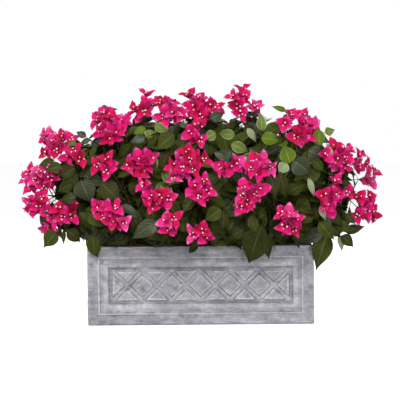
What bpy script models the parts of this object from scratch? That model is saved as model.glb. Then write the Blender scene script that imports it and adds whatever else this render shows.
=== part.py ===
"""Artificial bougainvillea in a grey cast planter with a lattice panel, in full blossom all round.

Metres, +Z up. The origin is the middle of the planter's flat underside, X runs along the planter,
and the crown's front is the side with Y below zero. Five short stems stand in the planter's filling.
Boughs spread from them, and each carries one mass of twigs, leaves and heads of bracts that keeps to
its own space.
"""

import math
import random

import bmesh
import bpy
from mathutils import Matrix, Vector

# Planter: a trough with the same sunk lattice panel on its long and its short sides
PLANTER_LENGTH = 0.508
PLANTER_DEPTH = 0.178
PLANTER_HEIGHT = 0.178
PLANTER_WALL = 0.014
PLANTER_FLOOR = 0.015
PLANTER_DRAFT = 0.004
PANEL_INSET = 0.056
PANEL_STEPS = (
    # each step inwards from the edge of the side: how far, and how far out of the surface
    (0.0240, 0.0),
    (0.0005, 0.0015),
    (0.0020, 0.0),
    (0.0005, -0.0015),
    (0.0200, -0.0010),
    (0.0005, -0.0030),
)
LATTICE_PITCH = 0.066
LATTICE_STRIP = 0.0115
PAD_RISE = 0.0035
PAD_SLOPE = 0.0020
PAD_ROOT = 0.0030

# Filling of the planter, just below its rim
FILL_LEVEL = 0.166
TOUCH_GAP = 0.0003

# Stems: bundles that stand in the filling
STEM_COUNT = 5
STEM_PITCH = 0.078
STEM_FOOT_RADIUS = 0.0150
STEM_RADIUS = 0.0110
STEM_TOP = 0.206
STEM_SPREAD = 0.012
STEM_UPRIGHT = 0.008

# Boughs: one to each mass, starting upright on its stem's flat top
BOUGH_RADIUS = 0.0034
BOUGH_TIP_RADIUS = 0.0026
BOUGH_RING = 0.0068
BOUGH_RISE = 0.045
BOUGH_UPRIGHT = 0.006
BOUGH_POINTS = 5
BOUGH_SHARE = 0.50

# Crown: a rounded box of leaves, measured from its middle at its widest level
CROWN_LEVEL = 0.270
CROWN_HALF_LENGTH = 0.413
CROWN_HALF_DEPTH = 0.235
CROWN_ABOVE = 0.275
CROWN_BELOW = 0.200
CROWN_POWER = 2.4

# Masses: a row of five along the front and the back, one at each end and four on top
ROW_COUNT = 5
ROW_PITCH = 0.148
ROW_SETBACK = 0.128
ROW_BOW = 0.05
ROW_LEVEL = 0.268
END_REACH = 0.340
END_LEVEL = 0.290
TOP_COUNT = 4
TOP_PITCH = 0.130
TOP_SETBACK = 0.040
TOP_LEVEL = 0.420
SPACE_MARGIN = 0.0012
LIMB_CLEARANCE = 0.0045
PLANTER_CLEARANCE = 0.0040

# Twigs of a mass, three-sided
LEADER_RADIUS = 0.0042
LEADER_TIP_RADIUS = 0.0032
LEADER_OVERRUN = 0.25
LEADER_LEAVES = 3
TWIG_RADIUS = 0.0022
TWIG_TIP_RADIUS = 0.0018
TWIG_SIDES = 3
TWIG_SLANT = 0.6
FIRST_TWIG = 0.12
LAST_TWIG = 0.94
TWIG_SAMPLES = 12
STALK_OVERLAP = 0.003
SHOOT_COUNT = 150
SHOOT_DEPTH = 0.052
LOWEST_SHOOT = 0.196
SHOOT_TO_HEAD = 0.034

# Leaves, larger than life because they are fewer
LEAF_LENGTH = 0.086
LEAF_WIDTH = 0.062
LEAF_THICKNESS = 0.0016
LEAF_SIZES = (0.84, 1.12)
LEAF_SPACING = 0.050
LEAF_BARE_SHARE = 0.40
LEAF_OPENING = math.radians(52)
LAST_LEAF_OPENING = math.radians(12)
LEAF_TURN = math.radians(150)
LEAF_FACE_UP = 0.25
LEAF_DROOP = 0.34
BLADE_WIDEST = 0.42
BLADE_ROOT_SHARE = 0.2
BLADE_ROWS = 8
BLADE_ROW_SAMPLES = 7
BLADE_TRIES = 8
BLADE_SHRINK = 0.94
BLADE_DISTANCE = 0.005
SEED = 11

# Heads of bracts
BRACTS_IN_HEAD = 3
BRACT_LENGTH_SHARE = 1.24
BRACT_WIDTH_SHARE = 1.16
BRACT_THICKNESS = 0.0016
BRACT_OPENING = math.radians(64)
HEAD_ROOT_STEP = 0.0030
BACK_SHIFT = 0.014

# Heads on the front: across, up, and how far each spreads from its middle
FRONT_HEADS = (
    (-0.332, 0.408, 0.036), (-0.275, 0.384, 0.031), (-0.386, 0.326, 0.026), (-0.334, 0.336, 0.031),
    (-0.370, 0.278, 0.029), (-0.304, 0.260, 0.039), (-0.201, 0.368, 0.034), (-0.196, 0.453, 0.046),
    (-0.193, 0.258, 0.043), (-0.129, 0.368, 0.043), (-0.124, 0.495, 0.035), (-0.069, 0.478, 0.033),
    (0.001, 0.491, 0.044), (-0.008, 0.429, 0.030), (-0.028, 0.365, 0.043), (-0.101, 0.297, 0.043),
    (-0.002, 0.309, 0.034), (-0.061, 0.234, 0.026), (-0.001, 0.216, 0.028), (0.090, 0.502, 0.040),
    (0.124, 0.488, 0.022), (0.123, 0.359, 0.039), (0.067, 0.358, 0.026), (0.103, 0.291, 0.039),
    (0.191, 0.240, 0.039), (0.189, 0.456, 0.031), (0.226, 0.436, 0.037), (0.308, 0.376, 0.035),
    (0.351, 0.369, 0.020), (0.370, 0.329, 0.027), (0.294, 0.298, 0.041), (0.368, 0.263, 0.040),
)

# Heads along the ridge and round the two ends, which the front and the back don't reach
RIDGE_HEADS = 4
RIDGE_PITCH = 0.128
RIDGE_LEVEL = 0.468
END_HEADS = ((-0.045, 0.372), (0.055, 0.318), (-0.020, 0.248))
END_HEAD_REACH = 0.358
EXTRA_SPREAD = 0.038

# Leaves that hang over the rim or stand out of the outline: across and up of root and tip, and width
SHOWN_LEAVES = (
    (0.102, 0.214, 0.108, 0.128, 0.050), (0.128, 0.196, 0.158, 0.146, 0.040),
    (0.304, 0.208, 0.262, 0.131, 0.054), (0.318, 0.222, 0.350, 0.172, 0.038),
    (0.352, 0.236, 0.366, 0.184, 0.030), (-0.312, 0.222, -0.352, 0.176, 0.046),
    (-0.270, 0.236, -0.290, 0.190, 0.026), (-0.228, 0.216, -0.236, 0.150, 0.040),
    (-0.208, 0.222, -0.218, 0.176, 0.034), (-0.182, 0.218, -0.186, 0.172, 0.030),
    (-0.086, 0.222, -0.074, 0.168, 0.026), (-0.046, 0.206, -0.038, 0.164, 0.030),
    (0.046, 0.214, 0.042, 0.174, 0.030), (0.214, 0.214, 0.224, 0.170, 0.034),
    (0.176, 0.470, 0.196, 0.500, 0.024), (0.272, 0.424, 0.298, 0.452, 0.030),
)
SHOWN_LEAF_STAND_OUT = 0.020
RIM_OVERHANG = 0.014


def new_material(name, colour, roughness):
    material = bpy.data.materials.new(name)
    material.use_nodes = True
    shader = material.node_tree.nodes["Principled BSDF"]
    shader.inputs["Base Color"].default_value = (*colour, 1)
    shader.inputs["Roughness"].default_value = roughness
    shader.inputs["Metallic"].default_value = 0
    return material


def new_object(name, mesh_or_curve, collection, *materials):
    thing = bpy.data.objects.new(name, mesh_or_curve)
    for material in materials:
        mesh_or_curve.materials.append(material)
    collection.objects.link(thing)
    return thing


def mesh_object(name, bm, collection, *materials):
    mesh = bpy.data.meshes.new(name)
    bm.to_mesh(mesh)
    bm.free()
    return new_object(name, mesh, collection, *materials)


def new_collection(name):
    collection = bpy.data.collections.new(name)
    bpy.context.scene.collection.children.link(collection)
    return collection


def piece_of(corner):
    """Every corner that is joined to one corner by edges."""
    found = {corner}
    waiting = [corner]
    while waiting:
        for edge in waiting.pop().link_edges:
            for neighbour in edge.verts:
                if neighbour not in found:
                    found.add(neighbour)
                    waiting.append(neighbour)
    return found


def drop_scraps(mesh):
    """Keeps only the largest of a mesh's separate pieces."""
    bm = bmesh.new()
    bm.from_mesh(mesh)
    left = set(bm.verts)
    largest = set()
    while left:
        found = piece_of(next(iter(left)))
        left -= found
        if len(found) > len(largest):
            largest = found
    scraps = [corner for corner in bm.verts if corner not in largest]
    bmesh.ops.delete(bm, geom=scraps, context="VERTS")
    bm.to_mesh(mesh)
    bm.free()


def fuse_all(body, pieces, solver):
    """Joins every object of a collection to the body by one applied union, and removes them."""
    union = body.modifiers.new("union", "BOOLEAN")
    union.operation = "UNION"
    union.solver = solver
    union.operand_type = "COLLECTION"
    union.collection = pieces
    union.material_mode = "TRANSFER"
    evaluated = body.evaluated_get(bpy.context.evaluated_depsgraph_get())
    joined = bpy.data.meshes.new_from_object(evaluated)
    drop_scraps(joined)
    body.modifiers.clear()
    body.data = joined
    for piece in list(pieces.objects):
        bpy.data.objects.remove(piece)
    bpy.data.collections.remove(pieces)


def side_frame(outward, reach):
    """Matrix of a side of the planter: its x runs along the side, its y up and its z outwards."""
    along = Vector((0, 0, 1)).cross(outward)
    turn = Matrix((along, (0, 0, 1), outward)).transposed().to_4x4()
    return Matrix.Translation(outward * reach + Vector((0, 0, PLANTER_HEIGHT / 2))) @ turn


def lattice_pads(length, height):
    """Outlines of the diamonds and triangles that a lattice of crossed strips leaves raised."""
    half_pitch = LATTICE_PITCH / 2
    half_height = height / 2
    clear = LATTICE_STRIP / math.sqrt(2)
    crossings = round(length / LATTICE_PITCH)
    outlines = []
    for n in range(crossings):
        middle = (n - (crossings - 1) / 2) * LATTICE_PITCH
        for side in (-1, 1):
            outlines.append((
                (middle - half_pitch + clear, side * half_height),
                (middle + half_pitch - clear, side * half_height),
                (middle, side * clear),
            ))
        if n < crossings - 1:
            centre = middle + half_pitch
            outlines.append((
                (centre - half_pitch + clear, 0),
                (centre, clear - half_height),
                (centre + half_pitch - clear, 0),
                (centre, half_height - clear),
            ))
    for side in (-1, 1):
        end = side * length / 2
        outlines.append((
            (end, clear - half_height),
            (end, half_height - clear),
            (end - side * (half_pitch - clear), 0),
        ))
    return outlines


def lattice_pad(name, outline, frame, sunk, collection, material):
    """One raised pad with sloping sides, rooted in the panel's floor."""
    bm = bmesh.new()
    corners = [bm.verts.new((x, y, -sunk - PAD_ROOT)) for x, y in outline]
    face = bm.faces.new(corners)
    middle = sum((corner.co for corner in corners), Vector()) / len(corners)
    raised = bmesh.ops.extrude_face_region(bm, geom=[face])["geom"]
    top = [item for item in raised if isinstance(item, bmesh.types.BMVert)]
    for corner in top:
        inwards = (middle - corner.co).normalized()
        corner.co += inwards * PAD_SLOPE + Vector((0, 0, PAD_ROOT + PAD_RISE))
    bmesh.ops.recalc_face_normals(bm, faces=bm.faces)
    bmesh.ops.transform(bm, matrix=frame, verts=bm.verts)
    mesh_object(name, bm, collection, material)


def planter(collection, material):
    """Trough with a framed, sunk panel on each side, and raised pads between the lattice's strips."""
    bm = bmesh.new()
    bmesh.ops.create_cube(bm, size=1)
    size = Vector((PLANTER_LENGTH, PLANTER_DEPTH, PLANTER_HEIGHT))
    bmesh.ops.scale(bm, vec=size, verts=bm.verts)
    bmesh.ops.translate(bm, vec=(0, 0, PLANTER_HEIGHT / 2), verts=bm.verts)
    bm.faces.ensure_lookup_table()
    sides = [face for face in bm.faces if abs(face.normal.z) < 0.5]
    mouth = [face for face in bm.faces if face.normal.z > 0.5]
    bmesh.ops.inset_individual(bm, faces=mouth, thickness=PLANTER_WALL, depth=0)
    bmesh.ops.inset_individual(
        bm, faces=mouth, thickness=PLANTER_DRAFT, depth=PLANTER_FLOOR - PLANTER_HEIGHT
    )
    for inwards, outwards in PANEL_STEPS:
        bmesh.ops.inset_individual(bm, faces=sides, thickness=inwards, depth=outwards)
    body = mesh_object("planter", bm, collection, material)

    pads = new_collection("pads")
    sunk = -sum(outwards for inwards, outwards in PANEL_STEPS)
    field_height = PLANTER_HEIGHT - 2 * PANEL_INSET
    for outward, length, reach in (
        (Vector((0, -1, 0)), PLANTER_LENGTH, PLANTER_DEPTH / 2),
        (Vector((0, 1, 0)), PLANTER_LENGTH, PLANTER_DEPTH / 2),
        (Vector((-1, 0, 0)), PLANTER_DEPTH, PLANTER_LENGTH / 2),
        (Vector((1, 0, 0)), PLANTER_DEPTH, PLANTER_LENGTH / 2),
    ):
        frame = side_frame(outward, reach)
        for outline in lattice_pads(length - 2 * PANEL_INSET, field_height):
            lattice_pad("pad", outline, frame, sunk, pads, material)
    fuse_all(body, pads, "EXACT")
    return body


def filling(collection, material):
    """The block that fills the trough, narrower towards the floor as the trough is."""
    bottom = PLANTER_FLOOR + TOUCH_GAP
    bm = bmesh.new()
    bmesh.ops.create_cube(bm, size=1)
    for corner in bm.verts:
        level = FILL_LEVEL if corner.co.z > 0 else bottom
        narrowing = PLANTER_DRAFT * (PLANTER_HEIGHT - level) / (PLANTER_HEIGHT - PLANTER_FLOOR)
        inset = 2 * (PLANTER_WALL + narrowing + TOUCH_GAP)
        corner.co.x *= PLANTER_LENGTH - inset
        corner.co.y *= PLANTER_DEPTH - inset
        corner.co.z = level
    return mesh_object("filling", bm, collection, material)


def limb(name, points, radii, collection, material):
    """A tapering tube with flat ends along the points."""
    curve = bpy.data.curves.new(name, "CURVE")
    curve.dimensions = "3D"
    curve.bevel_depth = 1
    curve.bevel_resolution = 1
    curve.use_fill_caps = True
    spline = curve.splines.new("POLY")
    spline.points.add(len(points) - 1)
    for point, place, radius in zip(spline.points, points, radii):
        point.co = (*place, 1)
        point.radius = radius
    return new_object(name, curve, collection, material)


def mass_places():
    """Middle of each mass's space, by name."""
    places = {}
    for name, side in (("front", -1), ("back", 1)):
        for n in range(ROW_COUNT):
            step = n - (ROW_COUNT - 1) / 2
            setback = side * ROW_SETBACK * (1 - ROW_BOW * step ** 2)
            places[f"{name}_{n + 1}"] = Vector((step * ROW_PITCH, setback, ROW_LEVEL))
    for n in range(TOP_COUNT):
        step = n - (TOP_COUNT - 1) / 2
        setback = TOP_SETBACK * (-1 if n % 2 else 1)
        places[f"top_{n + 1}"] = Vector((step * TOP_PITCH, setback, TOP_LEVEL))
    for name, side in (("left", -1), ("right", 1)):
        places[f"{name}_end"] = Vector((side * END_REACH, 0, END_LEVEL))
    return places


def stem_points():
    """Foot and flat top of each stem, which leans outwards from the middle."""
    stems = []
    for n in range(STEM_COUNT):
        step = n - (STEM_COUNT - 1) / 2
        foot = Vector((step * STEM_PITCH, 0, FILL_LEVEL + TOUCH_GAP))
        top = Vector((step * (STEM_PITCH + STEM_SPREAD / 2), 0, STEM_TOP))
        stems.append((foot, top))
    return stems


def masses_by_stem(places, stems):
    """Names of the masses that each stem carries, those furthest out on the outermost stems."""
    carried = [[] for stem in stems]
    for name, place in places.items():
        share = place.x / (ROW_PITCH * 2)
        nearest = round((share + 1) / 2 * (len(stems) - 1))
        carried[min(max(nearest, 0), len(stems) - 1)].append(name)
    return carried


def ring_angles(headings):
    """Evenly spaced angles round a stem's top, turned to suit the headings, which rise."""
    spacing = 2 * math.pi / len(headings)
    across = sum(math.cos(heading - n * spacing) for n, heading in enumerate(headings))
    along = sum(math.sin(heading - n * spacing) for n, heading in enumerate(headings))
    start = math.atan2(along, across)
    return [start + n * spacing for n in range(len(headings))]


def bough_route(start, place):
    """Points of a bough that starts upright and bends over towards its mass."""
    bend = start + Vector((0, 0, BOUGH_UPRIGHT))
    handle = start + Vector((0, 0, BOUGH_RISE))
    end = handle.lerp(place, BOUGH_SHARE)
    points = [start]
    for k in range(BOUGH_POINTS):
        t = k / (BOUGH_POINTS - 1)
        points.append(bend * (1 - t) ** 2 + handle * 2 * t * (1 - t) + end * t ** 2)
    return points


def bough_routes(places, stems):
    """Points of each mass's bough, from its stem's flat top to where the mass's own stem starts."""
    routes = {}
    for (foot, top), names in zip(stems, masses_by_stem(places, stems)):
        def heading(name):
            return math.atan2(places[name].y - top.y, places[name].x - top.x)

        names.sort(key=heading)
        for name, angle in zip(names, ring_angles([heading(name) for name in names])):
            ring = Vector((math.cos(angle), math.sin(angle), 0)) * BOUGH_RING
            start = top + ring + Vector((0, 0, TOUCH_GAP))
            routes[name] = bough_route(start, places[name])
    return routes


def crown_face(across, up):
    """How far the crown stands out in front of its middle at a place on its outline's plane."""
    height = CROWN_ABOVE if up > CROWN_LEVEL else CROWN_BELOW
    used = abs(across / CROWN_HALF_LENGTH) ** CROWN_POWER
    used += abs((up - CROWN_LEVEL) / height) ** CROWN_POWER
    return CROWN_HALF_DEPTH * max(1 - used, 0) ** (1 / CROWN_POWER)


def crown_reach(direction):
    """Distance from the crown's middle to its surface in a direction."""
    height = CROWN_ABOVE if direction.z > 0 else CROWN_BELOW
    used = abs(direction.x / CROWN_HALF_LENGTH) ** CROWN_POWER
    used += abs(direction.y / CROWN_HALF_DEPTH) ** CROWN_POWER
    used += abs(direction.z / height) ** CROWN_POWER
    return used ** (-1 / CROWN_POWER)


def outward_at(place):
    """Direction in which the crown's surface faces at a place."""
    from_middle = place - Vector((0, 0, CROWN_LEVEL))
    height = CROWN_ABOVE if from_middle.z > 0 else CROWN_BELOW
    halves = (CROWN_HALF_LENGTH, CROWN_HALF_DEPTH, height)
    facing = Vector([
        math.copysign(abs(part / half) ** (CROWN_POWER - 1), part) / half
        for part, half in zip(from_middle, halves)
    ])
    return facing.normalized()


def head_places(rng):
    """Middle and spread of every head: the front ones, the same turned round for the back, and more."""
    heads = []
    for across, up, spread in FRONT_HEADS:
        heads.append((Vector((across, -crown_face(across, up), up)), spread))
    for across, up, spread in FRONT_HEADS:
        shift_across = rng.uniform(-BACK_SHIFT, BACK_SHIFT)
        shift_up = rng.uniform(-BACK_SHIFT, 0)
        behind = Vector((-across + shift_across, 0, up + shift_up))
        behind.y = crown_face(behind.x, behind.z)
        heads.append((behind, spread))
    for n in range(RIDGE_HEADS):
        across = (n - (RIDGE_HEADS - 1) / 2) * RIDGE_PITCH
        heads.append((Vector((across, 0, RIDGE_LEVEL)), EXTRA_SPREAD))
    for side in (-1, 1):
        for setback, up in END_HEADS:
            heads.append((Vector((side * END_HEAD_REACH, setback * side, up)), EXTRA_SPREAD))
    return heads


def shoot_places(heads):
    """Tips of the leafy shoots, spread evenly just under the crown's surface, between the heads."""
    golden_turn = math.pi * (3 - math.sqrt(5))
    tips = []
    for n in range(SHOOT_COUNT):
        level = 1 - 2 * (n + 0.5) / SHOOT_COUNT
        ring = math.sqrt(1 - level ** 2)
        turn = n * golden_turn
        height = CROWN_ABOVE if level > 0 else CROWN_BELOW
        direction = Vector((
            CROWN_HALF_LENGTH * ring * math.cos(turn),
            CROWN_HALF_DEPTH * ring * math.sin(turn),
            height * level,
        )).normalized()
        depth = crown_reach(direction) - SHOOT_DEPTH
        tip = Vector((0, 0, CROWN_LEVEL)) + direction * depth
        far_from_heads = all((tip - place).length > SHOOT_TO_HEAD for place, spread in heads)
        if tip.z > LOWEST_SHOOT and far_from_heads:
            tips.append(tip)
    return tips


def shown_leaves():
    """Root, direction, length and width of the leaves that the outline is known by."""
    leaves = []
    for root_across, root_up, tip_across, tip_up, width in SHOWN_LEAVES:
        root = Vector((root_across, -crown_face(root_across, root_up), root_up))
        tip = Vector((tip_across, root.y - SHOWN_LEAF_STAND_OUT, tip_up))
        if tip_up < PLANTER_HEIGHT:
            root.y = -PLANTER_DEPTH / 2 - RIM_OVERHANG
            tip.y = root.y - SHOWN_LEAF_STAND_OUT
        leaves.append((root, (tip - root).normalized(), (tip - root).length, width))
    return leaves


def nearest_mass(place, places):
    return min(places, key=lambda name: (places[name] - place).length)


def segment_distance(point, start, end):
    along = end - start
    share = (point - start).dot(along) / along.length_squared
    share = min(max(share, 0), 1)
    return (start + along * share - point).length


class Space:
    """Room that one mass may fill: nearer to its own middle than to any other, clear of all limbs."""

    def __init__(self, name, places, limbs):
        own = places[name]
        self.walls = []
        for other_name, other in places.items():
            if other_name != name:
                facing = (other - own).normalized()
                self.walls.append(((own + other) / 2, facing))
        for facing in (Vector((1, 0, 0)), Vector((-1, 0, 0)), Vector((0, 0, 1))):
            self.walls.append((Vector((0, 0, CROWN_LEVEL)) + facing * crown_reach(facing), facing))
        self.limbs = limbs
        self.taken = set()

    def cells(self, samples):
        return {tuple(round(part / BLADE_DISTANCE) for part in sample) for sample in samples}

    def take(self, samples):
        self.taken |= self.cells(samples)

    def is_free(self, samples):
        return not self.taken & self.cells(samples)

    def holds(self, corners):
        for middle, facing in self.walls:
            if any((corner - middle).dot(facing) > -SPACE_MARGIN for corner in corners):
                return False
        return True

    def clears(self, samples):
        for sample in samples:
            for start, end, radius in self.limbs:
                if segment_distance(sample, start, end) < radius + LIMB_CLEARANCE:
                    return False
            beside = max(
                abs(sample.x) - PLANTER_LENGTH / 2,
                abs(sample.y) - PLANTER_DEPTH / 2,
                sample.z - PLANTER_HEIGHT,
            )
            if beside < PLANTER_CLEARANCE:
                return False
        return True


def along_segment(start, end, count):
    return [start.lerp(end, k / (count - 1)) for k in range(count)]


def blade_points(root, direction, face, length, width):
    """Corners of a flat blade, and points spread over it."""
    sideways = direction.cross(face).normalized() * width / 2
    middle = root + direction * length * BLADE_WIDEST
    tip = root + direction * length
    corners = [root, middle + sideways, tip, middle - sideways]
    samples = []
    for centre in along_segment(root.lerp(tip, BLADE_ROOT_SHARE), tip, BLADE_ROWS):
        share = (centre - root).length / length
        breadth = min(share / BLADE_WIDEST, (1 - share) / (1 - BLADE_WIDEST))
        edge = sideways * max(breadth, 0)
        samples += along_segment(centre - edge, centre + edge, BLADE_ROW_SAMPLES)
    return corners, samples


def add_blade(pieces, root, direction, face, length, width, thickness, material):
    """A leaf or bract: a four-sided double pyramid, flat, with its root at the given place."""
    sideways = direction.cross(face).normalized()
    normal = direction.cross(sideways)
    bm = bmesh.new()
    bmesh.ops.create_uvsphere(bm, u_segments=4, v_segments=2, radius=1)
    for corner in bm.verts:
        share = (corner.co.x + 1) / 2
        if abs(corner.co.x) < 0.5:
            share = BLADE_WIDEST
        place = root + direction * length * share
        place += sideways * corner.co.y * width / 2
        place += normal * corner.co.z * thickness / 2
        corner.co = place
    mesh_object("blade", bm, pieces, material)


def add_twig(pieces, start, end, start_radius, end_radius, material, sides=TWIG_SIDES):
    """A straight tapering twig."""
    bm = bmesh.new()
    along = end - start
    bmesh.ops.create_cone(
        bm, cap_ends=True, segments=sides, radius1=start_radius, radius2=end_radius,
        depth=along.length,
    )
    turn = along.to_track_quat("Z", "Y").to_matrix().to_4x4()
    place = Matrix.Translation((start + end) / 2) @ turn
    bmesh.ops.transform(bm, matrix=place, verts=bm.verts)
    return mesh_object("twig", bm, pieces, material)


def branching_point(leader_start, leader_end, target):
    """Where on the mass's stem the twig to a target leaves it, at a slant."""
    along = leader_end - leader_start
    share = (target - leader_start).dot(along) / along.length_squared
    offset = (leader_start + along * share - target).length
    share -= TWIG_SLANT * offset / along.length
    return leader_start + along * min(max(share, FIRST_TWIG), LAST_TWIG)


def turned_about(axis, face, angle):
    """The direction across an axis that stands at an angle from the side that a face looks to."""
    across = (face - axis * face.dot(axis)).normalized()
    return Matrix.Rotation(angle, 3, axis) @ across


def grow_leaf(pieces, space, root, twig_direction, opening, turn, rng, material):
    """A leaf on a twig, turned until it fits its mass's space."""
    outward = outward_at(root)
    size = rng.uniform(*LEAF_SIZES)
    length = LEAF_LENGTH * size
    width = LEAF_WIDTH * size
    for attempt in range(BLADE_TRIES):
        beside = turned_about(twig_direction, outward, turn + attempt * 2 * math.pi / BLADE_TRIES)
        direction = twig_direction * math.cos(opening) + beside * math.sin(opening)
        direction += Vector((0, 0, -LEAF_DROOP))
        direction.normalize()
        face = outward + Vector((0, 0, LEAF_FACE_UP))
        length *= BLADE_SHRINK
        width *= BLADE_SHRINK
        corners, samples = blade_points(root, direction, face, length, width)
        if space.holds(corners) and space.is_free(samples) and space.clears(samples):
            add_blade(pieces, root, direction, face, length, width, LEAF_THICKNESS, material)
            space.take(samples)
            return


def grow_leafy_twig(pieces, space, start, tip, rng, material, bare_tip=0.0):
    """A twig with leaves in turn round it; the last one carries on from its tip."""
    if not space.clears(along_segment(start, tip, TWIG_SAMPLES)[2:]):
        return False
    add_twig(pieces, start, tip, TWIG_RADIUS, TWIG_TIP_RADIUS, material)
    space.take(along_segment(start, tip, 2 * TWIG_SAMPLES)[4:])
    along = tip - start
    direction = along.normalized()
    usable = along.length * (1 - LEAF_BARE_SHARE) - bare_tip
    count = max(round(usable / LEAF_SPACING), 1)
    turn = rng.uniform(0, 2 * math.pi)
    for n in range(count):
        share = LEAF_BARE_SHARE + (usable / along.length) * (n + 0.5) / count
        turn += LEAF_TURN
        grow_leaf(pieces, space, start + along * share, direction, LEAF_OPENING, turn, rng, material)
    if bare_tip == 0:
        root = tip - direction * STALK_OVERLAP
        grow_leaf(pieces, space, root, direction, LAST_LEAF_OPENING, turn, rng, material)
    return True


def grow_head(pieces, space, twig_start, centre, spread, rng, material):
    """Bracts that open round the end of a head's twig."""
    outward = outward_at(centre)
    inward = (twig_start - centre).normalized()
    turn = rng.uniform(0, 2 * math.pi)
    for n in range(BRACTS_IN_HEAD):
        length = spread * BRACT_LENGTH_SHARE
        width = spread * BRACT_WIDTH_SHARE
        root = centre + inward * (HEAD_ROOT_STEP * (n + 0.5))
        for attempt in range(BLADE_TRIES):
            beside = turned_about(outward, Vector((0, 0, 1)), turn)
            direction = outward * math.cos(BRACT_OPENING) + beside * math.sin(BRACT_OPENING)
            length *= BLADE_SHRINK
            width *= BLADE_SHRINK
            corners, samples = blade_points(root, direction, outward, length, width)
            turn += 2 * math.pi / (BRACTS_IN_HEAD if attempt == 0 else BLADE_TRIES - 1)
            beyond_root = samples[2 * BLADE_ROW_SAMPLES:]
            if space.holds(corners) and space.is_free(beyond_root) and space.clears(samples):
                add_blade(pieces, root, direction, outward, length, width, BRACT_THICKNESS, material)
                space.take(samples)
                break


def mass(name, space, route, place, heads, tips, leaves, rng, collection, green, pink):
    """One mass: its stem goes on from its bough, and twigs run from it to its heads and shoots."""
    bough_direction = (route[-1] - route[-2]).normalized()
    start = route[-1] + bough_direction * TOUCH_GAP
    end = place + (place - start) * LEADER_OVERRUN
    pieces = new_collection("pieces")
    leader_direction = (end - start).normalized()
    leader = add_twig(collection, start, end, LEADER_RADIUS, LEADER_TIP_RADIUS, green, sides=4)
    leader.name = f"mass_{name}"
    for root, direction, length, width in leaves:
        twig_start = branching_point(start, end, root)
        stalk_tip = root + (root - twig_start).normalized() * STALK_OVERLAP
        corners, samples = blade_points(root, direction, outward_at(root), length, width)
        stalk_clear = space.clears(along_segment(twig_start, root, TWIG_SAMPLES)[2:])
        if space.holds(corners) and space.clears(samples) and stalk_clear:
            add_twig(pieces, twig_start, stalk_tip, TWIG_TIP_RADIUS, TWIG_TIP_RADIUS, green)
            add_blade(pieces, root, direction, outward_at(root), length, width, LEAF_THICKNESS, green)
            space.take(samples)
    for centre, spread in heads:
        twig_start = branching_point(start, end, centre)
        if grow_leafy_twig(pieces, space, twig_start, centre, rng, green, bare_tip=spread):
            grow_head(pieces, space, twig_start, centre, spread, rng, pink)
    for tip in tips:
        grow_leafy_twig(pieces, space, branching_point(start, end, tip), tip, rng, green)
    for n in range(LEADER_LEAVES):
        root = start.lerp(end, LAST_TWIG * (n + 1) / LEADER_LEAVES)
        grow_leaf(pieces, space, root, leader_direction, LEAF_OPENING, LEAF_TURN * n, rng, green)
    # the exact solver leaves open edges in some masses, where this many thin blades meet
    fuse_all(leader, pieces, "MANIFOLD")
    return leader


def main():
    for thing in list(bpy.data.objects):
        bpy.data.objects.remove(thing)
    plant = new_collection("potted_bougainvillea")
    stone = new_material("cast stone", (0.42, 0.42, 0.45), 0.9)
    moss = new_material("moss", (0.10, 0.07, 0.035), 1.0)
    bark = new_material("bark", (0.10, 0.07, 0.02), 0.9)
    green = new_material("leaf", (0.06, 0.12, 0.02), 0.6)
    pink = new_material("bract", (0.75, 0.0, 0.22), 0.7)

    planter(plant, stone)
    filling(plant, moss)

    places = mass_places()
    stems = stem_points()
    routes = bough_routes(places, stems)
    limbs = []
    for n, (foot, top) in enumerate(stems):
        upright = Vector((0, 0, STEM_UPRIGHT))
        radii = (STEM_FOOT_RADIUS, STEM_RADIUS, STEM_RADIUS, STEM_RADIUS)
        limb(f"stem_{n + 1}", (foot, foot + upright, top - upright, top), radii, plant, bark)
        limbs.append((foot, top, STEM_FOOT_RADIUS))
    for name, route in routes.items():
        last = len(route) - 1
        radii = [BOUGH_RADIUS + (BOUGH_TIP_RADIUS - BOUGH_RADIUS) * k / last for k in range(last + 1)]
        limb(f"bough_{name}", route, radii, plant, bark)
        limbs += [(route[k], route[k + 1], BOUGH_RADIUS) for k in range(last)]

    rng = random.Random(SEED)
    heads = head_places(rng)
    tips = shoot_places(heads)
    leaves = shown_leaves()
    for name, place in places.items():
        space = Space(name, places, limbs)
        own_heads = [head for head in heads if nearest_mass(head[0], places) == name]
        own_tips = [tip for tip in tips if nearest_mass(tip, places) == name]
        own_leaves = [leaf for leaf in leaves if nearest_mass(leaf[0], places) == name]
        mass(name, space, routes[name], place, own_heads, own_tips, own_leaves, rng, plant,
             green, pink)


main()
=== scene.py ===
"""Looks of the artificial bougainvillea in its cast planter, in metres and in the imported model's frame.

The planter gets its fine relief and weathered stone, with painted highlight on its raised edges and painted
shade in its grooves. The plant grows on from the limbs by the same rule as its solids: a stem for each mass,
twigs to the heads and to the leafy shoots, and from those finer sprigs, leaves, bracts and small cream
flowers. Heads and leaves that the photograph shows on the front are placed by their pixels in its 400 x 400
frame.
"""

import math
import random

import bmesh
import bpy
import numpy as np
from mathutils import Matrix, Vector, geometry, noise

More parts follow.
